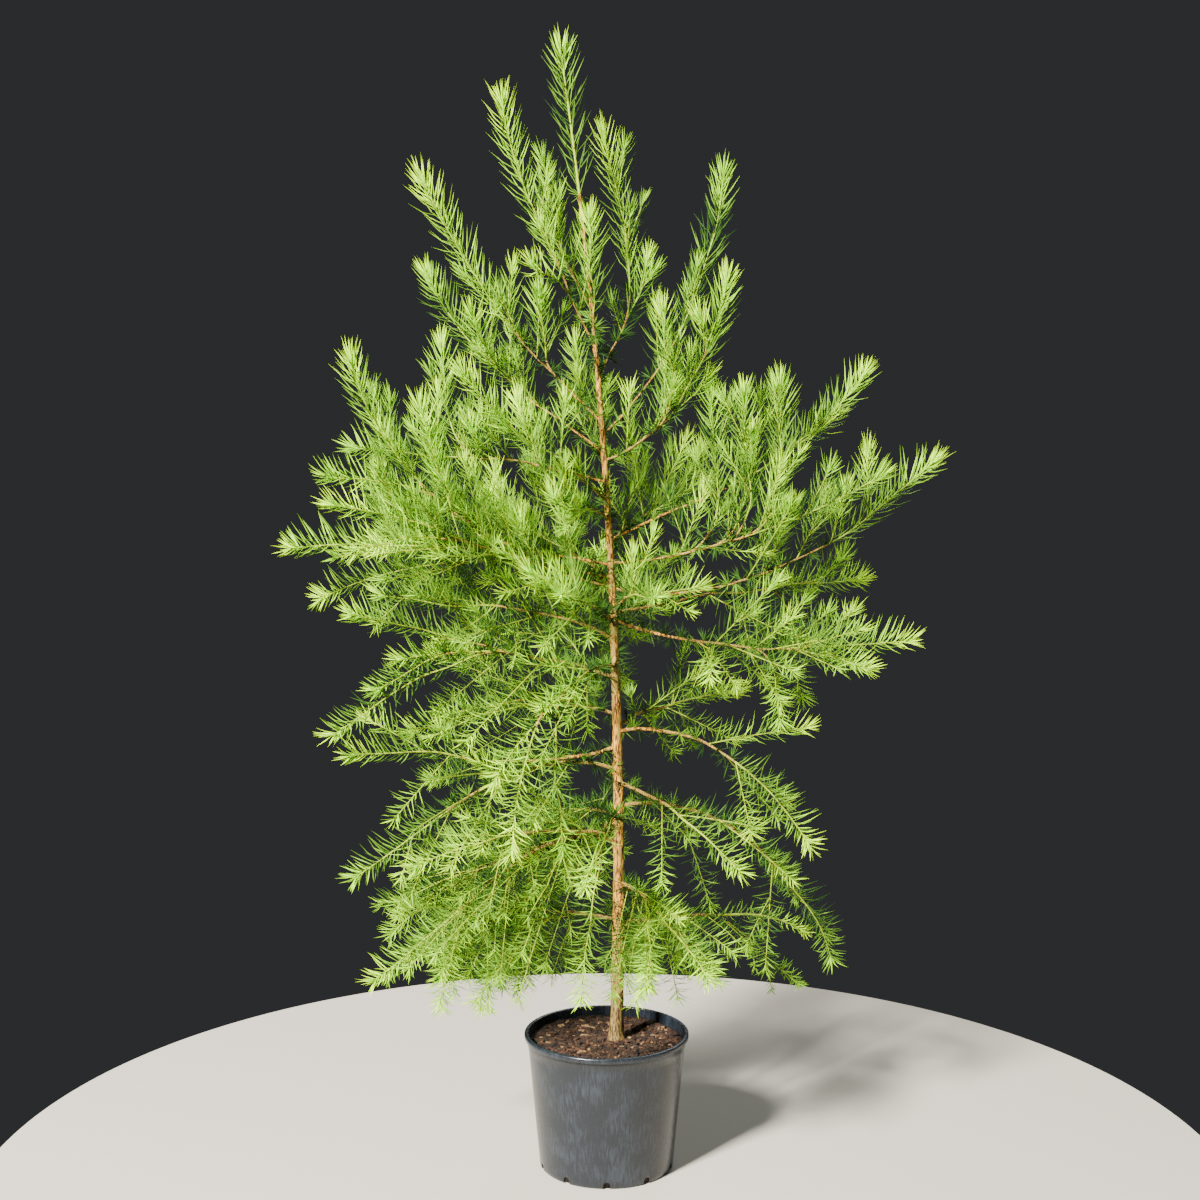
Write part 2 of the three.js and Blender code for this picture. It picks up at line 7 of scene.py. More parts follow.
import bpy
import numpy as np
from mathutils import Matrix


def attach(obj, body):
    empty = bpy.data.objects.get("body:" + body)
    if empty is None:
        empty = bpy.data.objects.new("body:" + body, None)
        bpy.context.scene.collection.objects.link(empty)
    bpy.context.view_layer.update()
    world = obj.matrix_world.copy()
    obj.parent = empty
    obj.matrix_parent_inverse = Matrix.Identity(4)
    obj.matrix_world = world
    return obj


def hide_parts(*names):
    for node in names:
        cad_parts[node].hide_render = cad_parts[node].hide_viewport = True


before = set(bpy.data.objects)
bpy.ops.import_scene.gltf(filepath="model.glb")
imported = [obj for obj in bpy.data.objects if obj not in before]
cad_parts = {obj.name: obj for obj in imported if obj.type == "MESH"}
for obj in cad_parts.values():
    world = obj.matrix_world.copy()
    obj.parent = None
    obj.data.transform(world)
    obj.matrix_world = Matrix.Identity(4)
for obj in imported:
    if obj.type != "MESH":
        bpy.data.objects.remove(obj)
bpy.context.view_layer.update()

# The pot: a 12 litre nursery container of black polypropylene, injection moulded in one piece.
# Its lip is rolled over for stiffness, its wall tapers so that pots nest, and the drain slots
# are moulded through the foot. It stands on its flat base.

MM = 0.001
POT_HEIGHT = 245.0
RIM_RADIUS = 147.5
LIP_HEIGHT = 10.0
WALL_TOP_RADIUS = 141.5
NECK_HEIGHT = 14.0
NECK_STEP = 0.9
NECK_EASE = 1.5
NECK_FLARE = 0.4
LIP_STEP = 0.5
LIP_BEAD = 3.0
INNER_BEAD = 2.0
FOOT_RADIUS = 120.0
FOOT_CHAMFER = 3.0
WALL = 2.0
FLOOR = 3.0
FLOOR_FILLET = 1.0
POT_SIDES = 180
DRAINS = 10
DRAIN_WIDTH = 12.0
DRAIN_HEIGHT = 13.0
DRAIN_DEPTH = 16.0
DRAIN_START = -4.0


def linear(colour):
    """An sRGB hex colour as linear red, green, blue and alpha."""
    channels = [int(colour[i:i + 2], 16) / 255 for i in (1, 3, 5)]
    return [c / 12.92 if c <= 0.04045 else ((c + 0.055) / 1.055) ** 2.4 for c in channels] + [1.0]


def node(tree, kind, inputs=None, **settings):
    """Adds a node. Settings are its own values; inputs are values or other nodes' outputs."""
    made = tree.nodes.new(kind)
    for name, value in settings.items():
        setattr(made, name, value)
    for name, value in (inputs or {}).items():
        if isinstance(value, bpy.types.NodeSocket):
            tree.links.new(value, made.inputs[name])
        else:
            made.inputs[name].default_value = value
    return made


def new_material(name):
    """A material with its node tree, its main shader and an Object coordinate in millimetres."""
    material = bpy.data.materials.new(name)
    material.use_nodes = True
    tree = material.node_tree
    place = node(tree, "ShaderNodeTexCoord").outputs["Object"]
    in_mm = node(tree, "ShaderNodeVectorMath", {0: place, "Scale": 1 / MM}, operation="SCALE")
    return material, tree, tree.nodes["Principled BSDF"], in_mm.outputs["Vector"]


def ring_faces(rings, sides):
    """Triangles between each ring of points and the next, and a fan to a pole at either end.

    The points are the rings in order, then the first end's pole, then the last end's.
    """
    ring, side = np.meshgrid(np.arange(rings - 1), np.arange(sides), indexing="ij")
    a = ring * sides + side
    b = ring * sides + (side + 1) % sides
    wall = np.stack([a, b, b + sides, a, b + sides, a + sides], -1).reshape(-1, 3)
    edge = np.arange(sides)
    after = (edge + 1) % sides
    end = (rings - 1) * sides
    first = np.stack([np.full(sides, rings * sides), after, edge], -1)
    last = np.stack([end + edge, end + after, np.full(sides, rings * sides + 1)], -1)
    return np.concatenate([wall, first, last])


def closed_rings(rings):
    """Points and triangles of a closed skin through an array of rings, poled at both ends."""
    poles = rings[[0, -1]].mean(axis=1)
    points = np.concatenate([rings.reshape(-1, 3), poles])
    return points, ring_faces(rings.shape[0], rings.shape[1])


def join(parts):
    """Several (points, triangles) as one."""
    sizes = np.cumsum([0] + [len(points) for points, _ in parts])
    points = np.concatenate([points for points, _ in parts])
    return points, np.concatenate([faces + start for (_, faces), start in zip(parts, sizes)])


def add_piece(name, shape, material, smooth=True):
    """One object at the origin from points in millimetres and triangles, riding on the body."""
    points, triangles = shape
    mesh = bpy.data.meshes.new(name)
    mesh.vertices.add(len(points))
    mesh.vertices.foreach_set("co", (points * MM).astype(np.float32).ravel())
    mesh.loops.add(triangles.size)
    mesh.loops.foreach_set("vertex_index", triangles.astype(np.int32).ravel())
    mesh.polygons.add(len(triangles))
    mesh.polygons.foreach_set("loop_start", np.arange(0, triangles.size, 3, dtype=np.int32))
    mesh.update(calc_edges=True)
    mesh.polygons.foreach_set("use_smooth", np.full(len(triangles), smooth))
    piece = bpy.data.objects.new(name, mesh)
    bpy.context.scene.collection.objects.link(piece)
    mesh.materials.append(material)
    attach(piece, "root")
    return piece


def turned(outline, sides):
    """Rings of an outline of (radius, height) turned round the pot's axis."""
    angle = 2 * math.pi * np.arange(sides) / sides
    radius, height = np.array(outline, dtype=float).T
    flat = np.stack([np.cos(angle), np.sin(angle)], -1)
    round_part = radius[:, None, None] * flat[None]
    upright = np.broadcast_to(height[:, None, None], (len(radius), sides, 1))
    return np.concatenate([round_part, upright], -1)


def arc(centre, radius, start, stop, steps):
    """Points of a circular arc in the outline's plane, from one angle in degrees to another."""
    angle = np.radians(np.linspace(start, stop, steps))
    return [(centre[0] + radius * np.cos(a), centre[1] + radius * np.sin(a)) for a in angle]


def pot_outline():
    """The pot's section: base, foot, tapered wall, neck, rolled lip, inner wall and floor."""
    lip_bottom = POT_HEIGHT - LIP_HEIGHT
    neck_bottom = lip_bottom - NECK_HEIGHT
    slope = (WALL_TOP_RADIUS - FOOT_RADIUS) / (lip_bottom - FOOT_CHAMFER)
    heights = np.linspace(FOOT_CHAMFER, neck_bottom - NECK_EASE, 30)
    wall = [(FOOT_RADIUS + slope * (z - FOOT_CHAMFER), z) for z in heights]
    neck_radius = wall[-1][0] + NECK_STEP
    neck = [(neck_radius, neck_bottom), (neck_radius + NECK_FLARE, lip_bottom - LIP_STEP)]
    lip = arc((RIM_RADIUS - LIP_BEAD, lip_bottom + LIP_BEAD), LIP_BEAD, -100, 0, 7)
    lip += arc((RIM_RADIUS - LIP_BEAD, POT_HEIGHT - LIP_BEAD), LIP_BEAD, 0, 90, 7)
    inner_top = WALL_TOP_RADIUS - WALL
    lip += arc((inner_top + INNER_BEAD, POT_HEIGHT - INNER_BEAD), INNER_BEAD, 90, 180, 5)
    inner_start = POT_HEIGHT - 2 * INNER_BEAD
    inner_drop = inner_start - FLOOR - FLOOR_FILLET
    inner = [(inner_top - (inner_top - FOOT_RADIUS + WALL) * s, inner_start - s * inner_drop)
             for s in np.linspace(0, 1, 12)]
    base = [(FOOT_RADIUS * s, 0.0) for s in (0.05, 0.4, 0.8)] + [(FOOT_RADIUS - FOOT_CHAMFER, 0.0)]
    floor = [((FOOT_RADIUS - WALL) * s, FLOOR) for s in (1.0, 0.6, 0.05)]
    return base + wall + neck + lip + inner + floor


def drain_slots():
    """The slots as round-topped bars that are cut out of the foot of the wall."""
    parts = []
    for i in range(DRAINS):
        turn = 2 * math.pi * (i + 0.5) / DRAINS
        half = DRAIN_WIDTH / 2
        section = [(-half, DRAIN_START), (half, DRAIN_START)]
        section += arc((0, DRAIN_HEIGHT - half), half, 0, 180, 9)
        across, height = np.array(section).T
        ends = []
        for out in (FOOT_RADIUS - DRAIN_DEPTH / 2, FOOT_RADIUS + DRAIN_DEPTH / 2):
            x = out * math.cos(turn) - across * math.sin(turn)
            y = out * math.sin(turn) + across * math.cos(turn)
            ends.append(np.stack([x, y, height], -1))
        parts.append(closed_rings(np.array(ends)))
    return join(parts)


def moulded_polypropylene():
    """Black polypropylene, injection moulded: satin, greyed by dust and fine rubbed scratches."""
    material, tree, shader, place = new_material("moulded_polypropylene")
    # Dust and rubbing lie in patches about 45 mm across.
    patches = node(tree, "ShaderNodeTexNoise", {"Vector": place, "Scale": 1 / 45, "Detail": 5.0})
    # Rubbed streaks about 3 mm wide run up and down the wall.
    stretched = node(tree, "ShaderNodeMapping", {"Vector": place, "Scale": (1.0, 1.0, 0.12)})
    streaks = node(tree, "ShaderNodeTexNoise",
                   {"Vector": stretched.outputs[0], "Scale": 1 / 3, "Detail": 3.0})
    # The moulded surface is speckled at about 1.6 mm.
    speckle = node(tree, "ShaderNodeTexNoise", {"Vector": place, "Scale": 1 / 1.6, "Detail": 2.0})
    rubbed = node(tree, "ShaderNodeMath",
                  {0: patches.outputs["Fac"], 1: streaks.outputs["Fac"]}, operation="MULTIPLY")
    dusty = node(tree, "ShaderNodeMapRange",
                 {"Value": rubbed.outputs[0], "From Min": 0.22, "From Max": 0.5, "To Max": 0.6})
    black = node(tree, "ShaderNodeMix",
                 {0: speckle.outputs["Fac"], 6: linear("#12161c"), 7: linear("#1c222a")},
                 data_type="RGBA")
    colour = node(tree, "ShaderNodeMix", {0: dusty.outputs[0], 6: black.outputs[2], 7: linear("#3b444f")},
                  data_type="RGBA")
    tree.links.new(colour.outputs[2], shader.inputs["Base Color"])
    rough = node(tree, "ShaderNodeMapRange", {"Value": dusty.outputs[0], "To Min": 0.26, "To Max": 0.5})
    tree.links.new(rough.outputs[0], shader.inputs["Roughness"])
    relief = node(tree, "ShaderNodeBump",
                  {"Height": streaks.outputs["Fac"], "Strength": 0.06, "Distance": 0.3 * MM})
    tree.links.new(relief.outputs[0], shader.inputs["Normal"])
    shader.inputs["IOR"].default_value = 1.49
    return material


pot = add_piece("pot_shell", closed_rings(turned(pot_outline(), POT_SIDES)), moulded_polypropylene())
slots = add_piece("drain_cutter", drain_slots(), pot.data.materials[0])
cut = pot.modifiers.new("drains", "BOOLEAN")
cut.operation = "DIFFERENCE"
cut.solver = "EXACT"
cut.object = slots
shell = bpy.data.meshes.new_from_object(pot.evaluated_get(bpy.context.evaluated_depsgraph_get()))
pot.modifiers.clear()
pot.data = shell
bpy.data.objects.remove(slots)
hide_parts("pot")

# The trunk: one leaning stem of young larch, whole from the compost to this year's leading shoot.
# Thin yellow-brown bark, furrowed and flaking near the foot, swollen where each limb leaves it and
# pimpled with old spurs.

# The control points of the trunk's line, from the compost to the top bud.
TRUNK_LINE = [(17, 0, 230.3), (34, 6, 818), (4, -6, 1406), (-83, 0, 1994)]
TRUNK_HEIGHT = TRUNK_LINE[3][2] - TRUNK_LINE[0][2]
TRUNK_STEPS = 400
WOOD_SHARE = 0.845
FOOT_DIAMETER = 23.0
TIP_DIAMETER = 2.4
TAPER = 1.1
FLARE = 5.0
FLARE_HEIGHT = 16.0
FLUTE = 0.05
FLUTE_HEIGHT = 40.0
TRUNK_SIDES = 56
TRUNK_RINGS = 620
RIDGE = 0.5
FURROW = 0.2
FLAKE = 0.7
FIRST_SPUR = 30.0
SPUR_STEP = 17.0
SPUR_RISE = 0.9
SPUR_SPREAD = 1.5
COLLAR_RISE = 0.45
COLLAR_SPREAD = 1.5

# A limb's root is a share of the trunk's radius there, between a least and a most.
LIMB_SHARE = 0.42
LIMB_MOST = 4.2
LIMB_LEAST = 1.9

# Each limb: its name, its height on the trunk, its last bud, its slope in degrees at the trunk and
# at the tip, the length of its bare bough, and its long forks as (share of the way out, tip, slope).
LIMBS = [
    ("top_left", 1458, (-180, -60, 1895), 63, 80, 0, [(0.2, (-130, -110, 1620), 80)]),
    ("top_back_left", 1527, (-115, 60, 1810), 50, 78, 0, []),
    ("top_front", 1415, (-30, -120, 1695), 55, 80, 0, []),
    ("top_back_right", 1407, (75, 110, 1645), 55, 82, 0, [(0.4, (-10, 70, 1855), 80)]),
    ("top_right", 1312, (205, 60, 1785), 40, 85, 80, []),
    ("high_left", 1334, (-320, -60, 1765), 41, 69, 95, [(0.2, (-120, -90, 1570), 50)]),
    ("high_back_left", 1281, (-325, 70, 1615), 35, 68, 90, [(0.4, (-225, -130, 1535), 80)]),
    ("high_right", 1268, (205, -70, 1600), 15, 88, 0,
     [(0.25, (90, -120, 1545), 82), (0.6, (150, -110, 1535), 85)]),
    ("high_back", 1250, (-60, 300, 1500), 35, 75, 0, []),
    ("mid_back_left", 1229, (-475, 90, 1290), 18, 8, 110,
     [(0.45, (-295, 110, 1495), 85), (0.35, (-240, -60, 1350), 75)]),
    ("high_front_left", 1195, (-250, -170, 1440), 42, 57, 0, []),
    ("high_front", 1165, (-95, -260, 1235), 25, 45, 0, [(0.55, (-150, -200, 1390), 85)]),
    ("wide_right_high", 1129, (465, 60, 1440), 25, 62, 120, []),
    ("mid_back_right", 1120, (190, 370, 1290), 25, 50, 0, []),
    ("mid_right", 1090, (485, -110, 1260), 0, 30, 0,
     [(0.25, (180, -40, 1405), 85), (0.38, (230, -100, 1405), 82), (0.45, (295, -60, 1425), 85),
      (0.35, (255, -20, 1335), 80)]),
    ("long_left", 1085, (-575, -30, 1115), 12, -5, 120, []),
    ("front_left", 1046, (-475, -200, 1205), 15, 8, 0, [(0.5, (-435, -240, 1125), -5)]),
    ("mid_back", 1060, (-230, 390, 1210), 20, 35, 0, []),
    ("mid_left", 1065, (-435, -80, 1465), 5, 85, 120,
     [(0.35, (-315, -120, 1385), 80), (0.5, (-495, -120, 1250), 15)]),
    ("long_right", 1045, (580, -40, 1285), -15, 45, 130, []),
    ("wide_back_left", 1050, (-535, 80, 1005), 25, -30, 0, []),
    ("front_right", 1010, (85, -300, 1065), 22, 10, 0, []),
    ("wide_back_right", 1000, (495, 160, 1045), 10, 0, 0,
     [(0.55, (370, 150, 805), -55), (0.7, (455, 190, 1100), 30)]),
    ("wide_right", 990, (545, -90, 965), -22, 5, 120,
     [(0.55, (465, -130, 915), -10), (0.26, (175, -130, 880), -85), (0.45, (305, -60, 790), -70)]),
    ("front_centre", 985, (-80, -380, 1080), 20, 15, 0, [(0.6, (-135, -340, 1120), 40)]),
    ("wide_front_left", 955, (-415, -60, 1045), 30, 15, 0, []),
    ("long_back", 930, (-30, 480, 960), 10, -5, 0, []),
    ("low_front", 905, (-110, -340, 885), 15, 0, 0,
     [(0.6, (-190, -280, 730), -85), (0.7, (-70, -270, 610), -88), (0.85, (-155, -330, 625), -85)]),
    ("low_front_left", 885, (-380, -100, 925), 22, -15, 0,
     [(0.45, (-450, -180, 1025), 12), (0.65, (-410, -160, 880), -20), (0.4, (-480, -190, 805), -25)]),
    ("low_back_left", 820, (-330, 300, 760), 10, -20, 0, [(0.06, (-370, -60, 790), -20)]),
    ("low_back_right", 800, (265, 260, 815), 15, -10, 0, []),
    ("low_right", 790, (365, -90, 580), 18, -65, 100, []),
    ("wide_left", 765, (-460, -150, 770), -20, -10, 120, []),
    ("drooping_left", 720, (-460, -80, 530), 25, -35, 0, []),
    ("drooping_right", 699, (240, -200, 570), -5, -35, 0, []),
    ("foot_right", 655, (415, 50, 335), 15, -80, 0, []),
    ("foot_front", 640, (-40, -380, 600), 15, -10, 0, [(0.5, (-45, -240, 355), -80)]),
    ("foot_back", 630, (-90, 390, 520), 0, -35, 0, []),
    ("foot_back_left", 620, (-410, 90, 380), -15, -50, 0, []),
    ("foot_front_left", 610, (-345, -170, 575), 5, -28, 0, []),
    ("lowest_left", 590, (-430, -70, 345), 25, -30, 0, [(0.5, (-300, -120, 355), -45)]),
    ("lowest_front", 518, (180, -240, 390), 0, -45, 0, [(0.12, (65, -250, 380), -80)]),
    ("lowest_back", 500, (120, 320, 340), 0, -35, 0, []),
    ("lowest_back_left", 450, (-390, 50, 455), 8, -3, 0, [(0.25, (-225, -60, 335), -45)]),
    ("lowest_right", 445, (390, 150, 365), -5, -50, 0, [(0.35, (385, 200, 255), -30)]),
]


def chance(i, j, k):
    """The same number between 0 and 1 every time for the same three whole numbers."""
    wave = np.sin(i * 12.9898 + j * 78.233 + k * 37.719) * 43758.5453
    return wave - np.floor(wave)


def soft_noise(x, y, seed, wrap=None):
    """Smooth noise from -1 to 1: a chance at each whole x and y, blended between them.

    With wrap, the pattern repeats after that many whole steps of x.
    """
    i, j = np.floor(x), np.floor(y)
    a, b = x - i, y - j
    a, b = a * a * (3 - 2 * a), b * b * (3 - 2 * b)
    left, right = (i, i + 1) if wrap is None else (i % wrap, (i + 1) % wrap)
    lower = chance(left, j, seed) * (1 - a) + chance(right, j, seed) * a
    upper = chance(left, j + 1, seed) * (1 - a) + chance(right, j + 1, seed) * a
    return 2 * (lower * (1 - b) + upper * b) - 1


def curve(controls, steps):
    """Points of a Bezier curve through three or four control points."""
    level = np.broadcast_to(np.array(controls, dtype=float)[:, None], (len(controls), steps + 1, 3))
    t = np.linspace(0, 1, steps + 1)[None, :, None]
    while len(level) > 1:
        level = level[:-1] * (1 - t) + level[1:] * t
    return level[0]


def evenly(path, steps):
    """A path's points again, at even lengths along it."""
    travelled = np.concatenate([[0], np.cumsum(np.linalg.norm(np.diff(path, axis=0), axis=1))])
    stops = np.linspace(0, travelled[-1], steps + 1)
    return np.stack([np.interp(stops, travelled, path[:, axis]) for axis in range(3)], -1)


def unit(vectors):
    """Vectors at length one."""
    return vectors / np.maximum(np.linalg.norm(vectors, axis=-1, keepdims=True), 1e-9)


def length_of(path):
    """The length of a path in millimetres."""
    return np.linalg.norm(np.diff(path, axis=0), axis=1).sum()


def frames_of(path):
    """The direction along an even path, and two directions across it, at each of its points."""
    along = unit(np.gradient(path, axis=0))
    plane = np.cross(along[0], along[-1])
    if np.linalg.norm(plane) < 0.05:
        plane = np.cross(along[0], np.eye(3)[np.argmin(np.abs(along[0]))])
    first = unit(plane - along * (along @ plane)[:, None])
    return along, first, np.cross(along, first)


def stand_at(path, share):
    """Places at shares of an even path's length, with the three directions there."""
    where = np.clip(share, 0, 1) * (len(path) - 1)
    low = np.minimum(where.astype(int), len(path) - 2)
    part = (where - low)[:, None]
    return [field[low] * (1 - part) + field[low + 1] * part for field in (path, *frames_of(path))]


def trunk_radius(share):
    """The trunk's radius at a share of the way up: an even taper with a flare at the foot."""
    wood = (TIP_DIAMETER + (FOOT_DIAMETER - TIP_DIAMETER) * (1 - share) ** TAPER) / 2
    return wood + FLARE * np.exp(-share * TRUNK_HEIGHT / FLARE_HEIGHT)


def limb_root(height):
    """The radius of a limb where it leaves the trunk at that height."""
    share = (height - TRUNK_LINE[0][2]) / TRUNK_HEIGHT
    return float(np.clip(trunk_radius(share) * LIMB_SHARE, LIMB_LEAST, LIMB_MOST))


def trunk_rings():
    """Level rings up the trunk, raised and lowered by the bark.

    The bark is long ridges, furrows and flakes that all fade upwards, a collar round each limb
    and small spurs. Three shallow flutes run into the flare at the foot.
    """
    share = WOOD_SHARE * np.linspace(0, 1, TRUNK_RINGS) ** 1.15
    centre, *_ = stand_at(trunk_path, share)
    angle = 2 * math.pi * np.arange(TRUNK_SIDES)[None] / TRUNK_SIDES
    height = centre[:, 2:]
    radius = trunk_radius(share)[:, None]
    low = np.clip(1.4 - share[:, None] * 1.6, 0.2, 1.2)
    ridge = RIDGE * soft_noise(angle * 16 / (2 * math.pi), height / 16, 11, 16)
    furrow = FURROW * soft_noise(angle * 32 / (2 * math.pi), height / 6, 12, 32)
    flake = np.clip(2.2 * soft_noise(angle * 10 / (2 * math.pi), height / 19, 13, 10) - 0.6, 0, 1)
    bark = (ridge + furrow + FLAKE * flake) * low
    bumps = []
    for _, start, tip, *_ in LIMBS:
        root = limb_root(start)
        bumps.append((math.atan2(tip[1], tip[0]), start, root * COLLAR_RISE, root * COLLAR_SPREAD))
    for i in range(int(WOOD_SHARE * TRUNK_HEIGHT / SPUR_STEP)):
        start = TRUNK_LINE[0][2] + FIRST_SPUR + SPUR_STEP * (i + chance(i, 2, 7))
        bumps.append((2 * math.pi * chance(i, 1, 7), start, SPUR_RISE, SPUR_SPREAD))
    for turn, start, rise, spread in bumps:
        aside = radius * ((angle - turn + math.pi) % (2 * math.pi) - math.pi)
        bark = bark + rise * np.exp(-(aside ** 2 + ((height - start) * 0.8) ** 2) / (2 * spread ** 2))
    flutes = FLUTE * np.sin(3 * angle + 1.3) * np.exp(-(height - TRUNK_LINE[0][2]) / FLUTE_HEIGHT)
    full = radius * (1 + flutes) + bark
    x, y = centre[:, :1] + full * np.cos(angle), centre[:, 1:2] + full * np.sin(angle)
    return np.stack([x, y, np.broadcast_to(height, x.shape)], -1)


def young_larch_bark(name, light, dark, grey, scale):
    """Thin young larch bark: yellow-brown with grey skin peeling off it, dry and matt."""
    material, tree, shader, place = new_material(name)
    # The fibres run up the stem, so the pattern is drawn out to six times its width.
    drawn = node(tree, "ShaderNodeMapping", {"Vector": place, "Scale": (1.0, 1.0, 0.17)})
    # On the trunk the fibres are about 2.2 mm across and the flakes of grey skin about 9 mm.
    fibres = node(tree, "ShaderNodeTexNoise",
                  {"Vector": drawn.outputs[0], "Scale": 1 / (2.2 * scale), "Detail": 6.0})
    skin = node(tree, "ShaderNodeTexNoise",
                {"Vector": drawn.outputs[0], "Scale": 1 / (9 * scale), "Detail": 4.0})
    split = node(tree, "ShaderNodeMapRange",
                 {"Value": fibres.outputs["Fac"], "From Min": 0.44, "From Max": 0.6})
    wood = node(tree, "ShaderNodeMix", {0: split.outputs[0], 6: linear(dark), 7: linear(light)},
                data_type="RGBA")
    peel = node(tree, "ShaderNodeMapRange",
                {"Value": skin.outputs["Fac"], "From Min": 0.5, "From Max": 0.62})
    colour = node(tree, "ShaderNodeMix", {0: peel.outputs[0], 6: wood.outputs[2], 7: linear(grey)},
                  data_type="RGBA")
    # Below about 560 mm the bark turns a darker, greyer brown: partly older, weathered bark and partly
    # painted shade of the crown over the foot.
    height = node(tree, "ShaderNodeSeparateXYZ", {0: place}).outputs["Z"]
    bark_age_and_shade = node(tree, "ShaderNodeMapRange",
               {"Value": height, "From Min": 560.0, "From Max": 260.0, "To Max": 0.85})
    old_and_shaded_bark = node(tree, "ShaderNodeMix", {0: split.outputs[0], 6: linear("#2a210f"), 7: linear("#6e643c")},
               data_type="RGBA")
    aged_and_shaded_bark = node(tree, "ShaderNodeMix", {0: bark_age_and_shade.outputs[0], 6: colour.outputs[2], 7: old_and_shaded_bark.outputs[2]},
                data_type="RGBA")
    tree.links.new(aged_and_shaded_bark.outputs[2], shader.inputs["Base Color"])
    relief = node(tree, "ShaderNodeBump",
                  {"Height": fibres.outputs["Fac"], "Strength": 0.8, "Distance": 0.9 * MM})
    tree.links.new(relief.outputs[0], shader.inputs["Normal"])
    shader.inputs["Roughness"].default_value = 0.78
    shader.inputs["Specular IOR Level"].default_value = 0.35
    return material


trunk_path = evenly(curve(TRUNK_LINE, TRUNK_STEPS), TRUNK_STEPS)
trunk_bark = young_larch_bark("young_larch_bark", "#eaa836", "#46280c", "#907e38", 1.0)
trunk = add_piece("trunk_bark", closed_rings(trunk_rings()), trunk_bark)
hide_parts("trunk")

# The compost: damp peat with coarse chopped bark, filled in round the stem to a little under
# the rim and settled. It is one lumpy plug in the pot, with loose chips of bark lying on it.

COMPOST_TOP = 230.0
FLAT_RADIUS = 14.0
FLAT_EASE = 26.0
LUMP = 3.5
CRUMB = 2.0
EDGE_DEPTH = 6.0
WALL_GAP = 0.5
FOOT_GAP = 1.0
FLOOR_GAP = 0.4
COMPOST_SIDES = 200
COMPOST_RINGS = 60
CHIP_LENGTH = (5, 15)
CHIP_WIDTH = (3, 8)
CHIP_THICKNESS = (1.5, 4.5)
CHIP_REACH = 128
# The chips' colours are given about a third darker than the bark's own, as painted shade of the crown over
# the compost.
CHIPS = {"bark_chips_dark": ("#211610", 480), "bark_chips_brown": ("#37271a", 560),
         "bark_chips_red": ("#4a3020", 300), "bark_chips_tan": ("#836748", 90)}


def compost_height(x, y):
    """Height of the compost: broad hollows, lumps and crumbs, flat where the trunk stands."""
    lumps = soft_noise(x / 34 + 9, y / 34 + 9, 3) + 0.6 * soft_noise(x / 12 + 40, y / 12 + 40, 4)
    crumbs = 0.35 * soft_noise(x / 4 + 80, y / 4 + 80, 5)
    foot_x, foot_y, _ = TRUNK_LINE[0]
    from_trunk = np.hypot(x - foot_x, y - foot_y)
    settle = np.clip((from_trunk - FLAT_RADIUS) / FLAT_EASE, 0, 1)
    return COMPOST_TOP + LUMP * (lumps - 0.25) * settle + CRUMB * crumbs * settle


def compost_plug():
    """The plug: a ring at its foot, then rings from the pot's wall in to its middle.

    The top rings stand at the compost's height at their place.
    """
    taper = (WALL_TOP_RADIUS - FOOT_RADIUS) * (COMPOST_TOP - EDGE_DEPTH) / (POT_HEIGHT - LIP_HEIGHT / 2)
    reach = FOOT_RADIUS - WALL + taper - WALL_GAP
    share = np.linspace(0.01, 1, COMPOST_RINGS)
    around = 2 * math.pi * np.arange(COMPOST_SIDES) / COMPOST_SIDES
    x = reach * share[:, None] * np.cos(around)
    y = reach * share[:, None] * np.sin(around)
    top = np.stack([x, y, compost_height(x, y)], -1)
    foot = turned([(FOOT_RADIUS - WALL - FOOT_GAP, FLOOR + FLOOR_GAP)], COMPOST_SIDES)
    return closed_rings(np.concatenate([foot, top[::-1]]))


def chips(count, seed):
    """Loose chips: boxes of six faces with jogged corners, turned anyhow and half sunk in."""
    random = np.random.default_rng(seed)
    ranges = (CHIP_LENGTH, CHIP_WIDTH, CHIP_THICKNESS)
    size = np.stack([random.uniform(least, most, count) for least, most in ranges], -1)
    corner = np.array([[x, y, z] for z in (-1, 1) for x, y in ((-1, -1), (1, -1), (1, 1), (-1, 1))]) / 2
    points = corner[None] * size[:, None] * random.uniform(0.7, 1.15, (count, 8, 3))
    turn, tilt = random.uniform(0, 2 * math.pi, count), random.normal(0, 0.45, count)
    y, z = points[..., 1].copy(), points[..., 2].copy()
    points[..., 1] = y * np.cos(tilt)[:, None] - z * np.sin(tilt)[:, None]
    points[..., 2] = y * np.sin(tilt)[:, None] + z * np.cos(tilt)[:, None]
    x, y = points[..., 0].copy(), points[..., 1].copy()
    points[..., 0] = x * np.cos(turn)[:, None] - y * np.sin(turn)[:, None]
    points[..., 1] = x * np.sin(turn)[:, None] + y * np.cos(turn)[:, None]
    reach = CHIP_REACH * np.sqrt(random.uniform(0, 1, count))
    around = random.uniform(0, 2 * math.pi, count)
    x, y = reach * np.cos(around), reach * np.sin(around)
    lying = compost_height(x, y) + random.uniform(-0.5, 1.5, count)
    points += np.stack([x, y, lying], -1)[:, None]
    box = np.array([[0, 3, 2], [0, 2, 1], [4, 5, 6], [4, 6, 7], [0, 1, 5], [0, 5, 4], [1, 2, 6], [1, 6, 5],
                    [2, 3, 7], [2, 7, 6], [3, 0, 4], [3, 4, 7]])
    return points.reshape(-1, 3), (box[None] + 8 * np.arange(count)[:, None, None]).reshape(-1, 3)


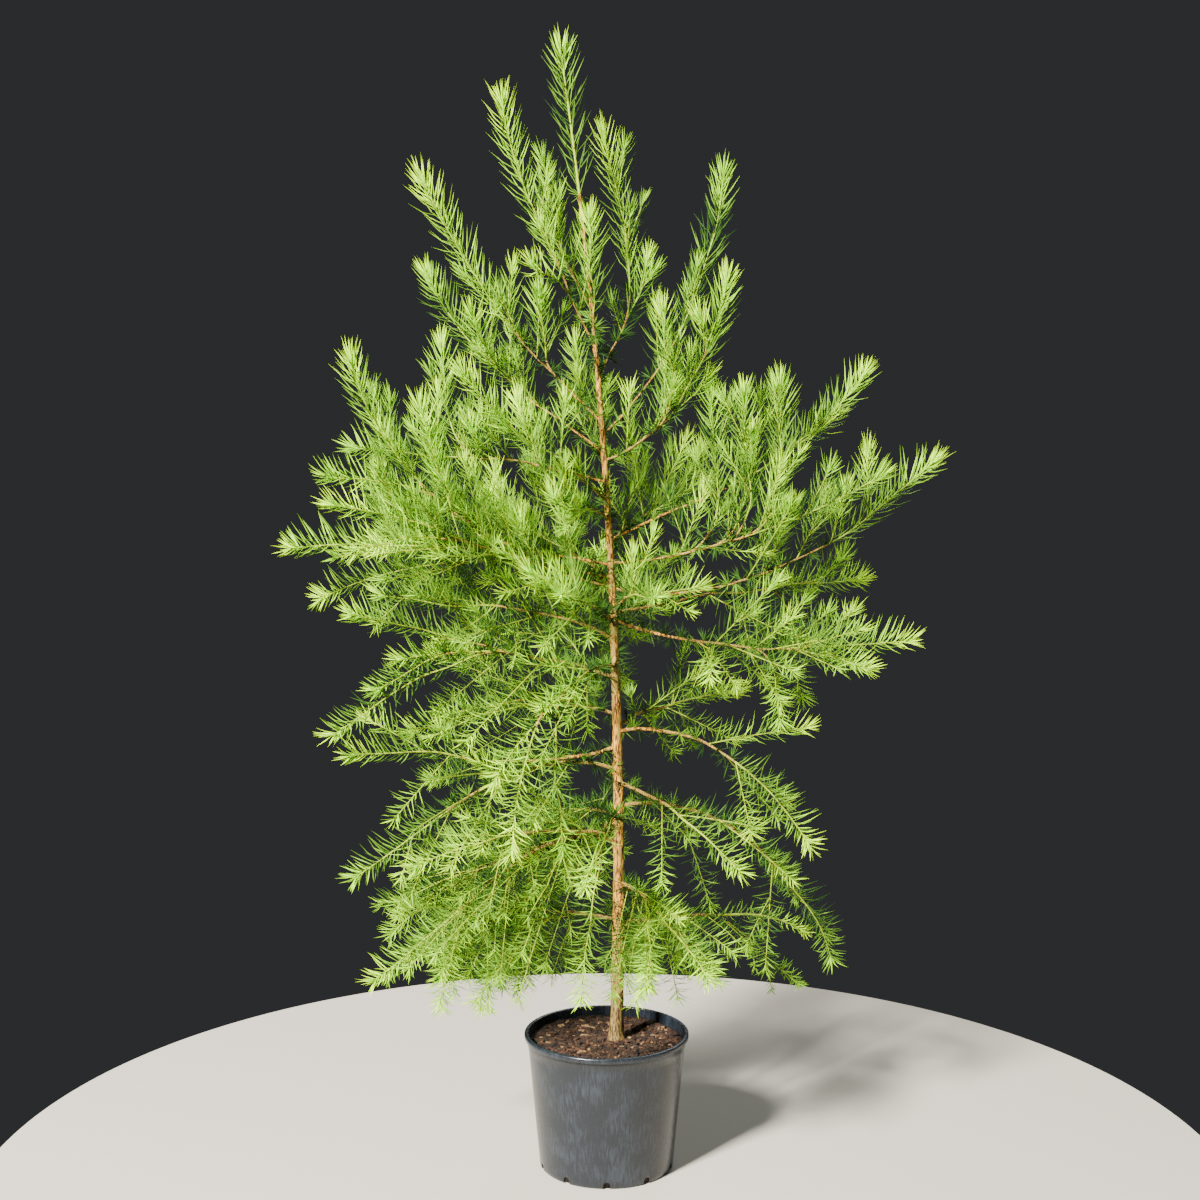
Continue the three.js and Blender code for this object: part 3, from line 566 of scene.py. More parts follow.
def shaded_damp_bark(name, colour, grain):
    """Chopped conifer bark and peat, damp: matt, broken in colour over a grain in millimetres."""
    material, tree, shader, place = new_material(name)
    mottle = node(tree, "ShaderNodeTexNoise", {"Vector": place, "Scale": 1 / grain, "Detail": 6.0})
    shade = node(tree, "ShaderNodeMapRange",
                 {"Value": mottle.outputs["Fac"], "From Min": 0.3, "From Max": 0.7,
                  "To Min": 0.35, "To Max": 1.3})
    tint = node(tree, "ShaderNodeVectorMath", {0: linear(colour)[:3], "Scale": shade.outputs[0]},
                operation="SCALE")
    tree.links.new(tint.outputs[0], shader.inputs["Base Color"])
    relief = node(tree, "ShaderNodeBump",
                  {"Height": mottle.outputs["Fac"], "Strength": 0.7, "Distance": 0.8 * MM})
    tree.links.new(relief.outputs[0], shader.inputs["Normal"])
    shader.inputs["Roughness"].default_value = 0.88
    shader.inputs["Specular IOR Level"].default_value = 0.3
    return material


# The peat's colour, like the chips', is given about a third darker than its own, as painted shade of the
# crown over the compost.
compost = add_piece("compost_plug", compost_plug(), shaded_damp_bark("peat_and_fine_bark", "#261810", 5.0))
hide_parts("compost")
for seed, (name, (colour, count)) in enumerate(CHIPS.items()):
    add_piece(name, chips(count, seed), shaded_damp_bark(name, colour, 3.0), smooth=False)

# The boughs and twigs: every limb tapers evenly from the trunk to its bud. The bare inner boughs
# and the wood of earlier years carry brown bark; this year's shoots are yellow green.
# Side shoots leave by the golden angle, rise high in the crown and hang low in it.

GOLDEN_ANGLE = 137.5
SHOOT_RADIUS = 1.3
BUD_RADIUS = 0.8
SIDE_BUD_RADIUS = 0.7
BUD_DISTANCE = 26.0
WOBBLE = 5.0
LIMB_STEPS = 60
SHOOT_STEPS = 16

# Each limb ends in this year's leading shoot, which is longer high in the crown. The older wood
# before it takes up at least and at most these shares of the limb.
LEADING_LOW = 230.0
LEADING_TOP = 330.0
OLD_WOOD_LEAST = 0.35
OLD_WOOD_MOST = 0.62
FORK_OLD_WOOD = 0.2
FORK_GAIN = 1.25

# A side shoot leans along its limb and stands out from it. Above the level height it is lifted,
# below it it droops, and near the ground it droops more.
ALONG = 0.62
OUTWARD = 0.78
LEVEL_HEIGHT = 950.0
TOP_HEIGHT = 1250.0
LIFT_HEIGHT = 350.0
LIFT = 0.8
DROOP = 0.4
FOOT_DROOP = 0.9

# Side shoots stand closer low in the crown. They are longest on long, low limbs, and shorter than
# the part of the limb beyond them, so that they don't overtake it.
SIDE_STEP_LOW = 24.0
SIDE_STEP_TOP = 28.0
SHOOT_LENGTH = 210.0
SHORTEST_SHOOT = 45.0
FULL_STEM = 400.0
LOW_GAIN = 0.4
BOTTOM_HEIGHT = 620.0
BOTTOM_GAIN = 1.25
OVERTAKE_LOW = 0.7
OVERTAKE_TOP = 0.25
FIRST_SIDE = 0.06
LAST_SIDE = 0.08

# Forks and strong side shoots carry small shoots from near their root, over a share of their
# length.
SMALL_SHOOT = 100.0
SMALL_STEP = 55.0
FIRST_SMALL = 0.12
STRONG_SHOOT = 150.0
FORK_BRANCHED = 0.6
SIDE_BRANCHED = 0.45

# How far apart a limb's side shoots stand, where it isn't the usual distance: 2 is twice as far.
SPACING = {"top_left": 1.8, "top_back_right": 2.4, "top_right": 2.2, "high_left": 0.8,
           "mid_back_left": 1.3, "high_front_left": 1.3, "high_front": 1.2, "wide_right_high": 3.6,
           "mid_right": 3.0, "long_left": 1.2, "mid_left": 2.2, "long_right": 2.8,
           "front_right": 0.4, "wide_back_right": 2.8, "wide_right": 0.6, "front_centre": 1.4,
           "low_back_right": 0.9, "low_right": 1.7, "wide_left": 1.8, "drooping_left": 1.7,
           "drooping_right": 1.4, "foot_right": 2.6, "foot_front": 0.7, "lowest_left": 0.8,
           "lowest_front": 0.4, "lowest_back": 0.8, "lowest_back_left": 0.7, "lowest_right": 4.0}

# How strongly a limb grows, where it is weaker than the rest: its shoots and needles are shorter.
VIGOUR = {"lowest_right": 0.6, "lowest_back": 0.75, "low_back_right": 0.8, "foot_back": 0.85}

# The crown's outline, which side shoots keep inside: height, reach to the left and to the right.
CROWN = np.array([[250, 330, 330], [345, 440, 430], [525, 470, 390], [640, 440, 380],
                  [700, 350, 380], [760, 460, 390], [840, 490, 390], [885, 430, 380],
                  [945, 500, 560], [1000, 530, 540], [1075, 565, 390], [1130, 585, 440],
                  [1235, 530, 450], [1280, 500, 590], [1440, 440, 470], [1610, 330, 215],
                  [1770, 325, 210], [1890, 185, 60], [1994, 95, 60]], dtype=float)
CROWN_DEPTH = 0.85

# Side shoots keep clear of the space just over the pot, and of the strip before the trunk.
POT_REACH = 190.0
POT_CLEARANCE = 310.0
TRUNK_GAP = 26.0
TRUNK_FRONT = -20.0

# A side shoot that would leave the crown is turned and shortened, a few times over.
TRIES = 4
TRY_TURN = 0.87
TRY_SHORTER = 0.85


def trunk_at(height):
    """The middle of the trunk's line at a height."""
    across = [np.interp(height, trunk_path[:, 2], trunk_path[:, axis]) for axis in (0, 1)]
    return np.array(across + [height])


def slope_direction(turn, slope):
    """A direction from its turn round the trunk and its slope, in radians."""
    level = math.cos(slope)
    return np.array([math.cos(turn) * level, math.sin(turn) * level, math.sin(slope)])


def limb_path(start, leave, tip, end_slope, seed):
    """A limb's even path: it leaves in one direction, ends at a slope and strays a little."""
    tip = np.array(tip, dtype=float)
    third = np.linalg.norm(tip - start) / 3
    turn = math.atan2(tip[1] - start[1], tip[0] - start[0])
    end = slope_direction(turn, math.radians(end_slope))
    controls = [start, start + leave * third, tip - end * third, tip]
    path = evenly(curve(controls, LIMB_STEPS), LIMB_STEPS)
    share = np.linspace(0, 1, LIMB_STEPS + 1)
    _, first, second = frames_of(path)
    fade = (np.sin(math.pi * share) * WOBBLE)[:, None]
    stray = soft_noise(share * 6, share * 0 + seed, 21)[:, None] * first
    stray = stray + soft_noise(share * 6, share * 0 + seed, 22)[:, None] * second
    return evenly(path + fade * stray, LIMB_STEPS)


def is_in_crown(point):
    """Whether a point lies inside the crown: an ellipse round the trunk at its height."""
    if not CROWN[0, 0] < point[2] < CROWN[-1, 0]:
        return False
    if point[2] < POT_CLEARANCE and math.hypot(point[0], point[1]) < POT_REACH:
        return False
    left, right = (np.interp(point[2], CROWN[:, 0], CROWN[:, side]) for side in (1, 2))
    middle = trunk_at(point[2])
    across = (point[0] - middle[0]) / (right if point[0] > middle[0] else left)
    deep = (point[1] - middle[1]) / ((left + right) / 2 * CROWN_DEPTH)
    return math.hypot(across, deep) < 1


def hides_trunk(path):
    """Whether a side shoot crosses before the trunk, which shows through the crown from there."""
    level_with = np.searchsorted(trunk_path[:, 2], path[:, 2]).clip(0, len(trunk_path) - 1)
    beside = np.abs(path[:, 0] - trunk_path[level_with, 0]) < TRUNK_GAP
    return bool(np.any(beside & (path[:, 1] < TRUNK_FRONT) & (path[:, 2] > BOTTOM_HEIGHT)))


def side_path(parent, share, roll, length):
    """A side shoot's even path: out and along, then bent up or down with the height it grows at."""
    place, along, _, _ = (field[0] for field in stand_at(parent, np.array([share])))
    flat = unit(np.cross(along, (0, 0, 1)))
    above = np.cross(flat, along)
    above_level = min((place[2] - LEVEL_HEIGHT) / LIFT_HEIGHT, 1)
    lift = LIFT * max(above_level, 0) + DROOP * min(above_level, 0)
    lift += FOOT_DROOP * min(above_level + 1, 0)
    out = math.cos(roll) * flat + math.sin(roll) * above
    leave = unit(ALONG * along + OUTWARD * out + (0, 0, lift))
    bend = unit(leave + (0, 0, lift / 2))
    middle = place + leave * length / 2
    controls = [place, middle, middle + bend * length / 2]
    return evenly(curve(controls, SHOOT_STEPS), SHOOT_STEPS)


def end_at_bud(shoot, distance=BUD_DISTANCE):
    """Ends a shoot's wood at its bud, a little short of where its last needles reach."""
    kept = 1 - distance / shoot["length"]
    shoot["path"] = stand_at(shoot["path"], np.linspace(0, kept, len(shoot["path"])))[0]
    shoot["length"] *= kept
    shoot["bare"] /= kept
    shoot["green"] /= kept


def grow_side(shoots, parent, share, roll, size, order):
    """Adds a side shoot to a stem, turned and shortened until it keeps inside the crown."""
    for attempt in range(TRIES):
        path = side_path(parent["path"], share, roll + attempt * TRY_TURN, size)
        if is_in_crown(path[-1]) and not hides_trunk(path):
            shoots.append(dict(limb=parent["limb"], path=path, length=size,
                               root=SHOOT_RADIUS * (1.1 - 0.2 * order), tip=SIDE_BUD_RADIUS,
                               bare=0.0, green=0.0, order=order, rank=order,
                               vigour=parent["vigour"]))
            return
        size *= TRY_SHORTER
        if size < SHORTEST_SHOOT:
            return


def grow_forks(shoots, stem, forks):
    """Adds a limb's long forks, which leave along it and end at a tip of their own."""
    for k, (share, tip, slope) in enumerate(forks):
        place, along, _, _ = (field[0] for field in stand_at(stem["path"], np.array([share])))
        path = limb_path(place, along, tip, slope, stem["limb"] + 50 * (k + 1))
        shoots.append(dict(limb=stem["limb"], path=path, length=length_of(path),
                           root=SHOOT_RADIUS * FORK_GAIN, tip=BUD_RADIUS, bare=0.0,
                           green=FORK_OLD_WOOD, order=1, rank=0, forked=True,
                           vigour=stem["vigour"]))


def grow_limb(shoots, number):
    """Adds a limb's stem, its forks and the side shoots on its older wood.

    Side shoots are stronger towards the tip, and each has its own luck in place and length.
    """
    name, start, tip, leave, end, bare, forks = LIMBS[number]
    origin = trunk_at(start)
    turn = math.atan2(tip[1] - origin[1], tip[0] - origin[0])
    path = limb_path(origin, slope_direction(turn, math.radians(leave)), tip, end, number)
    length = length_of(path)
    top = float(np.clip((start - LEVEL_HEIGHT) / (TOP_HEIGHT - LEVEL_HEIGHT), 0, 1))
    leading = LEADING_LOW + (LEADING_TOP - LEADING_LOW) * top
    green = float(np.clip(1 - leading / length, OLD_WOOD_LEAST, OLD_WOOD_MOST))
    vigour = VIGOUR.get(name, 1)
    stem = dict(limb=number, path=path, length=length, root=limb_root(start), tip=BUD_RADIUS,
                bare=bare / length, green=green, order=0, rank=0, vigour=vigour)
    shoots.append(stem)
    grow_forks(shoots, stem, forks)
    low = float(np.clip((LEVEL_HEIGHT - start) / LIFT_HEIGHT, 0, 1))
    overtake = OVERTAKE_LOW + (OVERTAKE_TOP - OVERTAKE_LOW) * top
    side_step = (SIDE_STEP_LOW + (SIDE_STEP_TOP - SIDE_STEP_LOW) * top) * SPACING.get(name, 1)
    fullness = float(np.clip(length / FULL_STEM, 0.5, 1.1)) * (1 + LOW_GAIN * low)
    if start < BOTTOM_HEIGHT:
        fullness *= BOTTOM_GAIN
    share = bare / length + FIRST_SIDE
    i = 0
    while share < green + LAST_SIDE:
        share += side_step * (0.6 + 0.8 * chance(number, i, 1)) / length
        stronger = 0.65 + 0.5 * share / green
        size = SHOOT_LENGTH * fullness * stronger * (0.5 + 0.7 * chance(number, i, 2))
        size = min(size, overtake * (1 - share) * length + SHORTEST_SHOOT) * vigour
        roll = math.radians(GOLDEN_ANGLE * i) + 2 * math.pi * chance(number, 0, 3)
        grow_side(shoots, stem, share, roll, size, 1)
        i += 1


def is_branched(shoot):
    """Whether a shoot carries small ones: it is strong, and not in the middle of the crown."""
    middle = BOTTOM_HEIGHT < shoot["path"][0][2] < LEVEL_HEIGHT
    return shoot["order"] == 1 and shoot["length"] > STRONG_SHOOT and not middle


def grow_crown():
    """Every shoot of the plant as a dict: its limb, path, radii, and where its green part starts.

    Its order is 0 for a limb, 1 for what grows on it and 2 for what grows on that. Its rank goes
    by strength: 0 for limbs and forks, 1 for side shoots and 2 for small shoots.
    """
    shoots = []
    for number in range(len(LIMBS)):
        grow_limb(shoots, number)
    for parent in [shoot for shoot in shoots if is_branched(shoot)]:
        limb, length = parent["limb"], parent["length"]
        branched = FORK_BRANCHED if parent.get("forked") else SIDE_BRANCHED
        for i in range(int(branched * length / SMALL_STEP)):
            share = FIRST_SMALL + (i + chance(limb, i, 5)) * SMALL_STEP / length
            roll = math.radians(GOLDEN_ANGLE * i) + 2 * math.pi * chance(limb, len(shoots), 6)
            size = SMALL_SHOOT * (0.7 + 0.6 * chance(i, len(shoots), 7))
            grow_side(shoots, parent, share, roll, size, 2)
    for shoot in shoots:
        end_at_bud(shoot)
    return shoots


def tube(path, share_from, share_to, radius_at, sides, ring_step, roughness=0.0, seed=0):
    """A closed round skin along a stretch of a path: rings round it at its radius.

    With roughness, low ridges along it and knots on it raise the skin by about that much.
    """
    rings = max(3, int(length_of(path) * (share_to - share_from) / ring_step) + 1)
    share = np.linspace(share_from, share_to, rings)
    centre, _, first, second = stand_at(path, share)
    angle = 2 * math.pi * np.arange(sides)[None] / sides
    radius = radius_at(share)[:, None] * np.ones((1, sides))
    if roughness:
        travelled = share[:, None] * length_of(path)
        radius = radius + roughness * soft_noise(angle * 6 / (2 * math.pi), travelled / 7, seed, 6)
        knots = 3 * soft_noise(angle * 4 / (2 * math.pi), travelled / 5, seed + 1, 4) - 1.6
        radius = radius + roughness * np.clip(knots, 0, 1.5)
    ring = centre[:, None] + radius[..., None] * (np.cos(angle)[..., None] * first[:, None]
                                                  + np.sin(angle)[..., None] * second[:, None])
    return closed_rings(ring)


def radius_along(shoot):
    """A shoot's radius at shares of its length: an even taper."""
    return lambda share: shoot["root"] + (shoot["tip"] - shoot["root"]) * share


def green_shoot_skin():
    """Skin of this year's shoots, not yet bark: yellow green in streaks of about 12 mm, satin."""
    material, tree, shader, place = new_material("shoot_skin_of_this_year")
    streak = node(tree, "ShaderNodeTexNoise", {"Vector": place, "Scale": 1 / 12, "Detail": 3.0})
    tone = node(tree, "ShaderNodeMix",
                {0: streak.outputs["Fac"], 6: linear("#8aa812"), 7: linear("#a6ae16")},
                data_type="RGBA")
    tree.links.new(tone.outputs[2], shader.inputs["Base Color"])
    shader.inputs["Roughness"].default_value = 0.6
    return material


shoots = grow_crown()
bare_boughs = [tube(s["path"], 0.0, s["bare"], radius_along(s), 14, 2.5, 0.28, s["limb"])
               for s in shoots if s["bare"]]
boughs = add_piece("boughs_bark", join(bare_boughs), trunk_bark)
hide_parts(*[f"bough_{limb[0]}" for limb in LIMBS if limb[5]])

WOOD_OVERLAP = 0.01
old_wood = [tube(s["path"], s["bare"], s["green"] + WOOD_OVERLAP, radius_along(s), 10, 4.0, 0.2,
                 s["limb"] + 90)
            for s in shoots if s["green"] > 0]
twig_bark = young_larch_bark("twig_bark_of_earlier_years", "#caa040", "#5a4018", "#8c7c3e", 0.6)
twigs = add_piece("twigs_old_wood", join(old_wood), twig_bark)

# The leading shoot goes on from the top of the trunk, and starts a little inside it.
LEADER_OVERLAP = 0.002
LEADER_BUD_DISTANCE = 34.0
leader_end = 1 - LEADER_BUD_DISTANCE / length_of(trunk_path)
green_wood = [tube(s["path"], s["green"], 1.0, radius_along(s), 5, 13.0) for s in shoots]
green_wood.append(tube(trunk_path, WOOD_SHARE - LEADER_OVERLAP, leader_end, trunk_radius, 8, 6.0))
add_piece("shoots_this_year", join(green_wood), green_shoot_skin())

# The needles: soft and flat. This year's shoots carry them singly in a spiral, standing out like a
# bottle brush and closing to a tuft at the bud. Older wood carries them in rosettes on short
# spurs. They are drawn larger than life, about 1.5 to 2 mm wide, so that each one shows.

# Length, distance apart, width and number in the tuft go by the shoot's rank.
NEEDLE_LENGTHS = (43.0, 38.0, 33.0)
NEEDLE_STEPS = (2.2, 2.8, 3.0)
NEEDLE_WIDTHS = (2.0, 1.6, 1.5)
TUFT_NEEDLES = (16, 10, 8)
NEEDLE_KEEL = 1.3
TUFT_LENGTH = 20.0

# High in the crown the needles are longer, and further apart on the vigorous shoots.
HIGH_GAIN = 0.12
TOP_STEP_GAIN = 0.5
TOP_STEP_HEIGHT = 300.0
LEADER_NEEDLE_STEP = 3.3
LEADER_VIGOUR = 1.08
LEADER_STEPS_INTO_WOOD = 6

# How far needles splay from their shoot, in degrees, and how much they curve up. Each has a value
# for a hanging, a level and an upright shoot. The splay opens over a length from the bud. No
# needle stands quite like the next: its splay, its place round the shoot and its bend stray.
WAY_UP = (-1, 0, 1)
TIP_SPLAYS = (40.0, 30.0, 15.0)
FULL_SPLAYS = (68.0, 58.0, 45.0)
RISES = (0.25, 0.25, 0.28)
SPLAY_LENGTH = 16.0
SPLAY_STRAY = 7.0
AROUND_STRAY = 0.25
BEND_STRAY = 0.07
BEND_ALONG = 0.08

# Needles on a shoot's upper side stand out more and are longer, and some below it are missing.
ABOVE_SPLAY = 8.0
ABOVE_GAIN = 0.06
THINNED_BELOW = 0.3

# They crowd towards the bud, where they are not yet full-grown.
CROWDING = 0.75
BUD_NEEDLE = 0.72
FULL_GROWN = 50.0

# Rosettes stand on spurs that lean up a little, and their needles spread by these degrees.
ROSETTE_STEP = 13.0
ROSETTE_START = 12.0
ROSETTE_NEEDLES = 14
ROSETTE_LENGTH = 25.0
ROSETTE_SPLAYS = (18, 82)
ROSETTE_TONES = (-0.1, 0.42)
SPUR_LENGTH = 2.0
SPUR_LEAN = 0.35
TRUNK_ROSETTE_STEP = 28.0
TRUNK_ROSETTE_START = 0.35

# The greens, from the freshest and lightest to the darkest, and the tones that part them.
NEEDLE_COLOURS = {"needles_tip": "#bcf00e", "needles_fresh": "#92cb1c", "needles_summer": "#639022",
                  "needles_inner": "#365a1c", "needles_shade": "#1b3410"}
TONE_LIMITS = [0.78, 0.55, 0.3, 0.08]
LEAST_TONE = -0.1
# Needles high in the crown, out from the trunk and on limbs and forks are dealt lighter greens, and
# needles on small shoots darker ones: painted light and shade.
HIGH_TONE = 0.12
HIGH_FROM = 300.0
HIGH_OVER = 1500.0
OUTER_TONE = 0.1
OUTER_REACH = 450.0
RANK_TONES = (0.1, -0.02, -0.16)
FRESH_TONE = 0.46
FRESH_LENGTH = 90.0
LUCK_TONE = 0.62
SHOOT_LUCK = 0.65
SPRAY = 26.0
MOST_NEEDLES = 19000


def needle_blades(root, direction, bend, length, width):
    """Closed three-sided blades: a ring of three points at the root, one past the middle, and a tip.

    Each runs along root + t * length * direction + t * t * length * bend, for t from 0 to 1.
    """
    side = unit(np.cross(direction, bend))
    face = np.cross(direction, side)
    length = length[:, None]
    blade = []
    for t, full in ((0.0, 0.55), (0.55, 1.0)):
        centre = root + length * (t * direction + t * t * bend)
        half = (width * full / 2)[:, None]
        blade += [centre - side * half, centre + side * half, centre + face * half * NEEDLE_KEEL]
    blade.append(root + length * (direction + bend))
    return np.stack(blade, 1)


BLADE_FACES = np.array([[0, 2, 1], [0, 1, 4], [0, 4, 3], [1, 2, 5], [1, 5, 4], [2, 0, 3], [2, 3, 5],
                        [3, 4, 6], [4, 5, 6], [5, 3, 6]])
BLADE_POINTS = 7


def spiral_needles(shoot, random):
    """The needles of a green shoot: blades, and how far along the shoot each one stands."""
    green_length = shoot["length"] * (1 - shoot["green"])
    tuft = TUFT_NEEDLES[shoot["rank"]]
    top = np.clip((shoot["path"][0][2] - TOP_HEIGHT) / TOP_STEP_HEIGHT, 0, 1)
    step = shoot.get("needle_step", NEEDLE_STEPS[shoot["rank"]] * (1 + TOP_STEP_GAIN * top))
    singles = int(green_length / step)
    spread = np.linspace(0.02, 0.98, singles) ** CROWDING
    single_share = shoot["green"] + (1 - shoot["green"]) * spread
    tuft_share = 1 - TUFT_LENGTH / shoot["length"] * random.uniform(0, 1, tuft) ** 1.5
    share = np.concatenate([single_share, tuft_share])
    place, along, first, second = stand_at(shoot["path"], share)
    around = np.arange(len(share)) * math.radians(GOLDEN_ANGLE)
    around = around + random.normal(0, AROUND_STRAY, len(share))
    out = first * np.cos(around)[:, None] + second * np.sin(around)[:, None]
    level = 1 - np.abs(along[:, 2])
    above = out[:, 2] * level
    kept = random.uniform(0, 1, len(share)) > -THINNED_BELOW * above
    share, place, along, out, above = (some[kept] for some in (share, place, along, out, above))
    to_tip = (1 - share) * shoot["length"]
    tip_splay = np.interp(along[:, 2], WAY_UP, TIP_SPLAYS)
    full_splay = np.interp(along[:, 2], WAY_UP, FULL_SPLAYS) + ABOVE_SPLAY * above
    opening = 1 - np.exp(-to_tip / SPLAY_LENGTH)
    stray = random.normal(0, SPLAY_STRAY, len(share))
    splay = np.radians(tip_splay + opening * (full_splay - tip_splay) + stray)
    direction = unit(along * np.cos(splay)[:, None] + out * np.sin(splay)[:, None])
    rise = np.interp(along[:, 2], WAY_UP, RISES) * (0.4 + 0.6 * opening)
    bend = BEND_ALONG * along + rise[:, None] * np.array([0, 0, 1.0])
    bend = bend + random.normal(0, BEND_STRAY, (len(share), 3))
    grown = BUD_NEEDLE + (1 - BUD_NEEDLE) * np.clip(to_tip / FULL_GROWN, 0, 1)
    length = NEEDLE_LENGTHS[shoot["rank"]] * grown * random.uniform(0.8, 1.1, len(share))
    high = np.clip((place[:, 2] - LEVEL_HEIGHT) / (TOP_HEIGHT - LEVEL_HEIGHT), 0, 1)
    length = length * (1 + ABOVE_GAIN * above) * (1 + HIGH_GAIN * high) * shoot["vigour"]
    width = NEEDLE_WIDTHS[shoot["rank"]] * random.uniform(0.85, 1.15, len(share))
    return needle_blades(place, direction, bend, length, width), share


def rosette_needles(path, share, random):
    """Rosettes on old wood: from each spur a whorl of needles that spreads out and up."""
    place, along, first, second = stand_at(path, share)
    around = np.arange(len(share)) * math.radians(GOLDEN_ANGLE) + random.uniform(0, 6.28)
    out = first * np.cos(around)[:, None] + second * np.sin(around)[:, None]
    out = unit(out + np.array([0, 0, SPUR_LEAN]))
    count = len(share) * ROSETTE_NEEDLES
    axis = np.repeat(out, ROSETTE_NEEDLES, 0)
    beside = unit(np.cross(axis, random.normal(0, 1, (count, 3))))
    splay = np.radians(random.uniform(*ROSETTE_SPLAYS, count))
    direction = axis * np.cos(splay)[:, None] + beside * np.sin(splay)[:, None]
    bend = 0.14 * axis + random.normal(0, 0.05, (count, 3))
    root = np.repeat(place + out * SPUR_LENGTH, ROSETTE_NEEDLES, 0)
    length = ROSETTE_LENGTH * random.uniform(0.75, 1.15, count)
    return needle_blades(root, direction, bend, length, np.full(count, NEEDLE_WIDTHS[2]))


def leading_shoot():
    """This year's leading shoot at the top of the trunk, as a dict like the other shoots."""
    root = int(WOOD_SHARE * TRUNK_STEPS) - LEADER_STEPS_INTO_WOOD
    path = evenly(trunk_path[root:], LIMB_STEPS)
    leader = dict(path=path, length=length_of(path), bare=0.0, green=0.02, rank=0,
                  needle_step=LEADER_NEEDLE_STEP, vigour=LEADER_VIGOUR)
    end_at_bud(leader, LEADER_BUD_DISTANCE)
    return leader


def needle_tones(shoot, number, share):
    """How light each needle's green is: the sum of where the shoot ends, its rank, freshness and luck.

    It grows towards the bud, where the needles are young. Painted light and shade also raise it with
    the height and reach of the shoot's tip and on limbs and forks, and lower it on small shoots. The
    luck is partly the same for the whole shoot and partly for each spray on it.
    """
    tip = shoot["path"][-1]
    high = np.clip((tip[2] - HIGH_FROM) / HIGH_OVER, 0, 1)
    outer = np.clip(math.hypot(tip[0], tip[1]) / OUTER_REACH, 0, 1)
    shade = HIGH_TONE * high + OUTER_TONE * outer + RANK_TONES[shoot["rank"]]
    spray = np.floor(share * shoot["length"] / SPRAY)
    luck = SHOOT_LUCK * chance(number, 3, 9) + (1 - SHOOT_LUCK) * chance(spray, number, 8)
    fresh = np.clip(1 - (1 - share) * shoot["length"] / FRESH_LENGTH, 0, 1)
    return LEAST_TONE + shade + FRESH_TONE * fresh + LUCK_TONE * luck


def deal_colours(dealt, blades, tones):
    """Deals blades out to the five greens: the higher the tone, the fresher the green."""
    names = list(NEEDLE_COLOURS)
    levels = np.digitize(tones, TONE_LIMITS)
    for level in np.unique(levels):
        dealt[names[level]].append(blades[levels == level])


def soft_needles(name, colour):
    """Soft larch needles: waxy, so satin with little shine, each piece in one plain green."""
    material, _, shader, _ = new_material("larch_" + name)
    shader.inputs["Base Color"].default_value = linear(colour)
    shader.inputs["Roughness"].default_value = 0.5
    shader.inputs["Specular IOR Level"].default_value = 0.08
    return material


random = np.random.default_rng(4)
dealt = {name: [] for name in NEEDLE_COLOURS}
for number, shoot in enumerate(shoots + [leading_shoot()]):
    blades, share = spiral_needles(shoot, random)
    deal_colours(dealt, blades, needle_tones(shoot, number, share))

old_stems = [dict(shoot, start=ROSETTE_START / shoot["length"], step=ROSETTE_STEP)
             for shoot in shoots if shoot["green"] > 0]
old_stems.append(dict(path=trunk_path, length=length_of(trunk_path), start=TRUNK_ROSETTE_START,
                      green=WOOD_SHARE, step=TRUNK_ROSETTE_STEP))
for stem in old_stems:
    rosettes = int(stem["length"] * (stem["green"] - stem["start"]) / stem["step"])
    if rosettes > 1:
        share = np.linspace(stem["start"], stem["green"], rosettes)
        share = share + random.normal(0, 0.004, rosettes)
        blades = rosette_needles(stem["path"], share, random)
        tones = np.repeat(random.uniform(*ROSETTE_TONES, rosettes), ROSETTE_NEEDLES)
        deal_colours(dealt, blades, tones)

# Each green is cut by height into pieces that aren't too large.
for name, colour in NEEDLE_COLOURS.items():
    material = soft_needles(name, colour)
    blades = np.concatenate(dealt[name])
    blades = blades[np.argsort(blades[:, 0, 2], kind="stable")]
    parts = np.array_split(blades, max(1, math.ceil(len(blades) / MOST_NEEDLES)))
    for number, part in enumerate(parts):
        faces = BLADE_FACES[None] + BLADE_POINTS * np.arange(len(part))[:, None, None]
        add_piece(f"{name}_{number + 1}", (part.reshape(-1, 3), faces.reshape(-1, 3)), material,
                  smooth=False)
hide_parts("mass_leader", *[f"mass_{limb[0]}" for limb in LIMBS])

# The stage: a plain pale round floor, soft studio light and the camera at the photograph's angle.

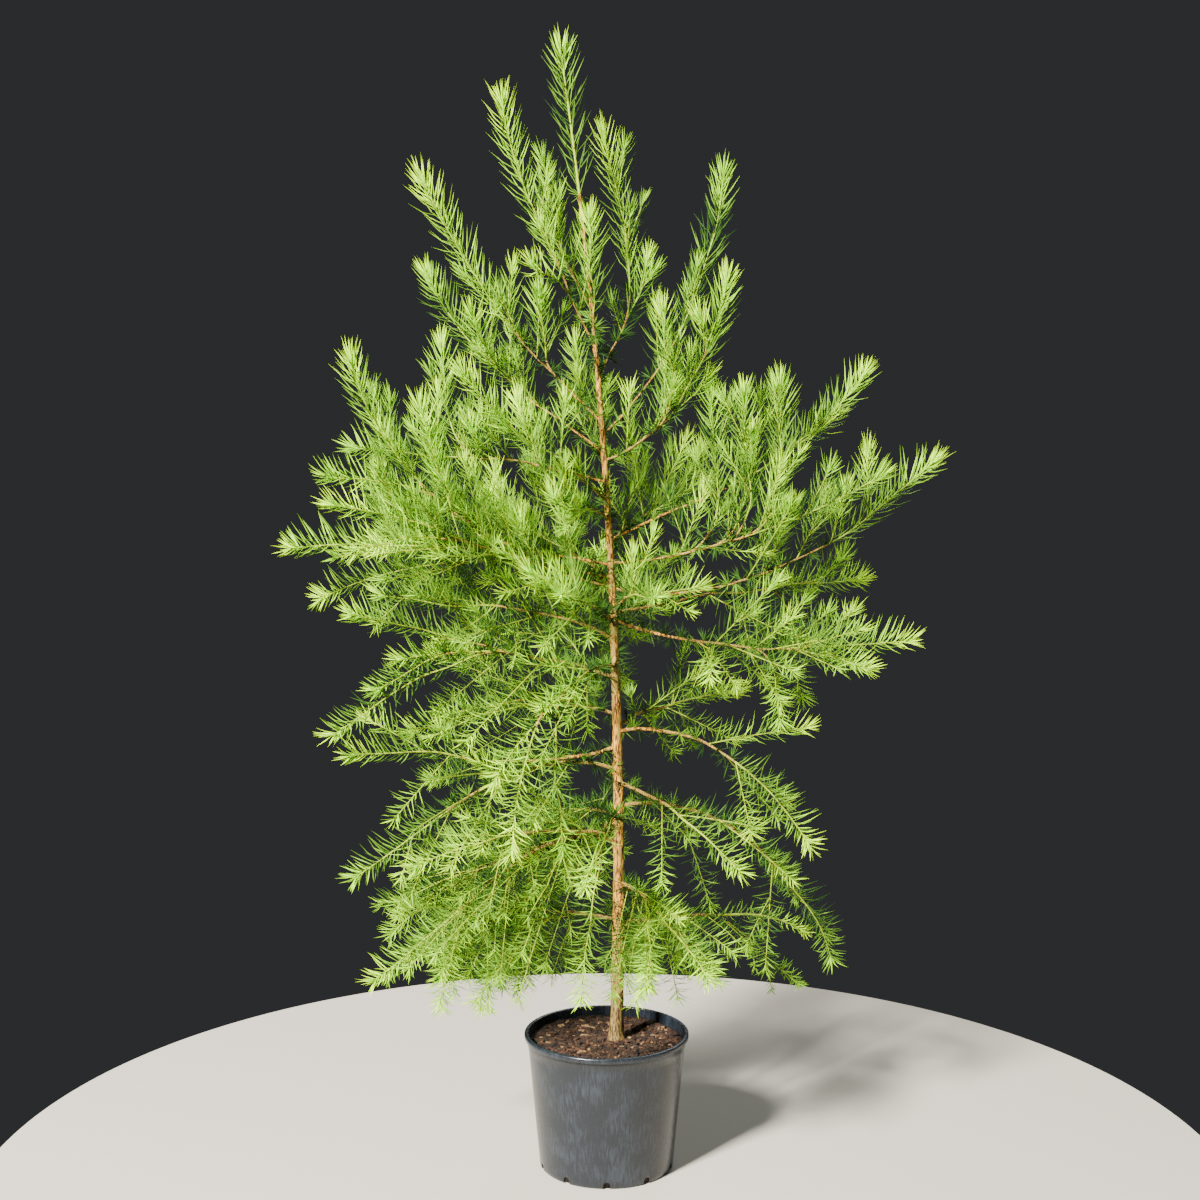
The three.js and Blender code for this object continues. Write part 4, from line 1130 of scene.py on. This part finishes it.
FLOOR_RADIUS = 1.12
FLOOR_SIDES = 256
CAMERA_PLACE = (-0.0117, -3.307, 1.389)
CAMERA_PITCH = math.radians(6.3)
FOCAL_LENGTH = 57.0
SENSOR_WIDTH = 36.0


def add_light(name, place, aim, size, power, colour):
    """A square soft light that points at a place. Places and sizes are in metres here."""
    lamp = bpy.data.lights.new(name, "AREA")
    lamp.size = size
    lamp.energy = power
    lamp.color = linear(colour)[:3]
    light = bpy.data.objects.new(name, lamp)
    light.location = place
    away = np.array(place) - np.array(aim)
    lean = math.acos(away[2] / np.linalg.norm(away))
    turn = math.atan2(away[1], away[0]) + math.pi / 2
    light.rotation_euler = (lean, 0, turn)
    bpy.context.scene.collection.objects.link(light)


pale, _, shader, _ = new_material("pale_floor_paint")
shader.inputs["Base Color"].default_value = linear("#bbb7ae")
shader.inputs["Roughness"].default_value = 0.9
around = 2 * math.pi * np.arange(FLOOR_SIDES) / FLOOR_SIDES
floor_edge = FLOOR_RADIUS * np.stack([np.cos(around), np.sin(around), 0 * around], -1)
floor_mesh = bpy.data.meshes.new("floor")
floor_mesh.from_pydata(floor_edge.tolist(), [], [list(range(FLOOR_SIDES))])
floor_mesh.materials.append(pale)
floor = bpy.data.objects.new("floor", floor_mesh)
bpy.context.scene.collection.objects.link(floor)

world = bpy.data.worlds.new("studio")
world.use_nodes = True
world.node_tree.nodes["Background"].inputs["Color"].default_value = linear("#dfe3e8")
world.node_tree.nodes["Background"].inputs["Strength"].default_value = 0.04
bpy.context.scene.world = world
add_light("key", place=(-4.5, -6.0, 5.8), aim=(0, 0, 0.9), size=1.2, power=5200, colour="#fff9ee")
add_light("fill", place=(2.8, -2.4, 1.6), aim=(0, 0, 0.9), size=2.0, power=14, colour="#eef4ff")
add_light("back", place=(0.8, 2.8, 3.0), aim=(0, 0, 1.2), size=1.8, power=60, colour="#ffffff")

lens = bpy.data.cameras.new("camera")
lens.sensor_width = SENSOR_WIDTH
lens.lens = FOCAL_LENGTH
camera = bpy.data.objects.new("camera", lens)
camera.location = CAMERA_PLACE
camera.rotation_euler = (math.pi / 2 - CAMERA_PITCH, 0, 0)
bpy.context.scene.collection.objects.link(camera)
bpy.context.scene.camera = camera
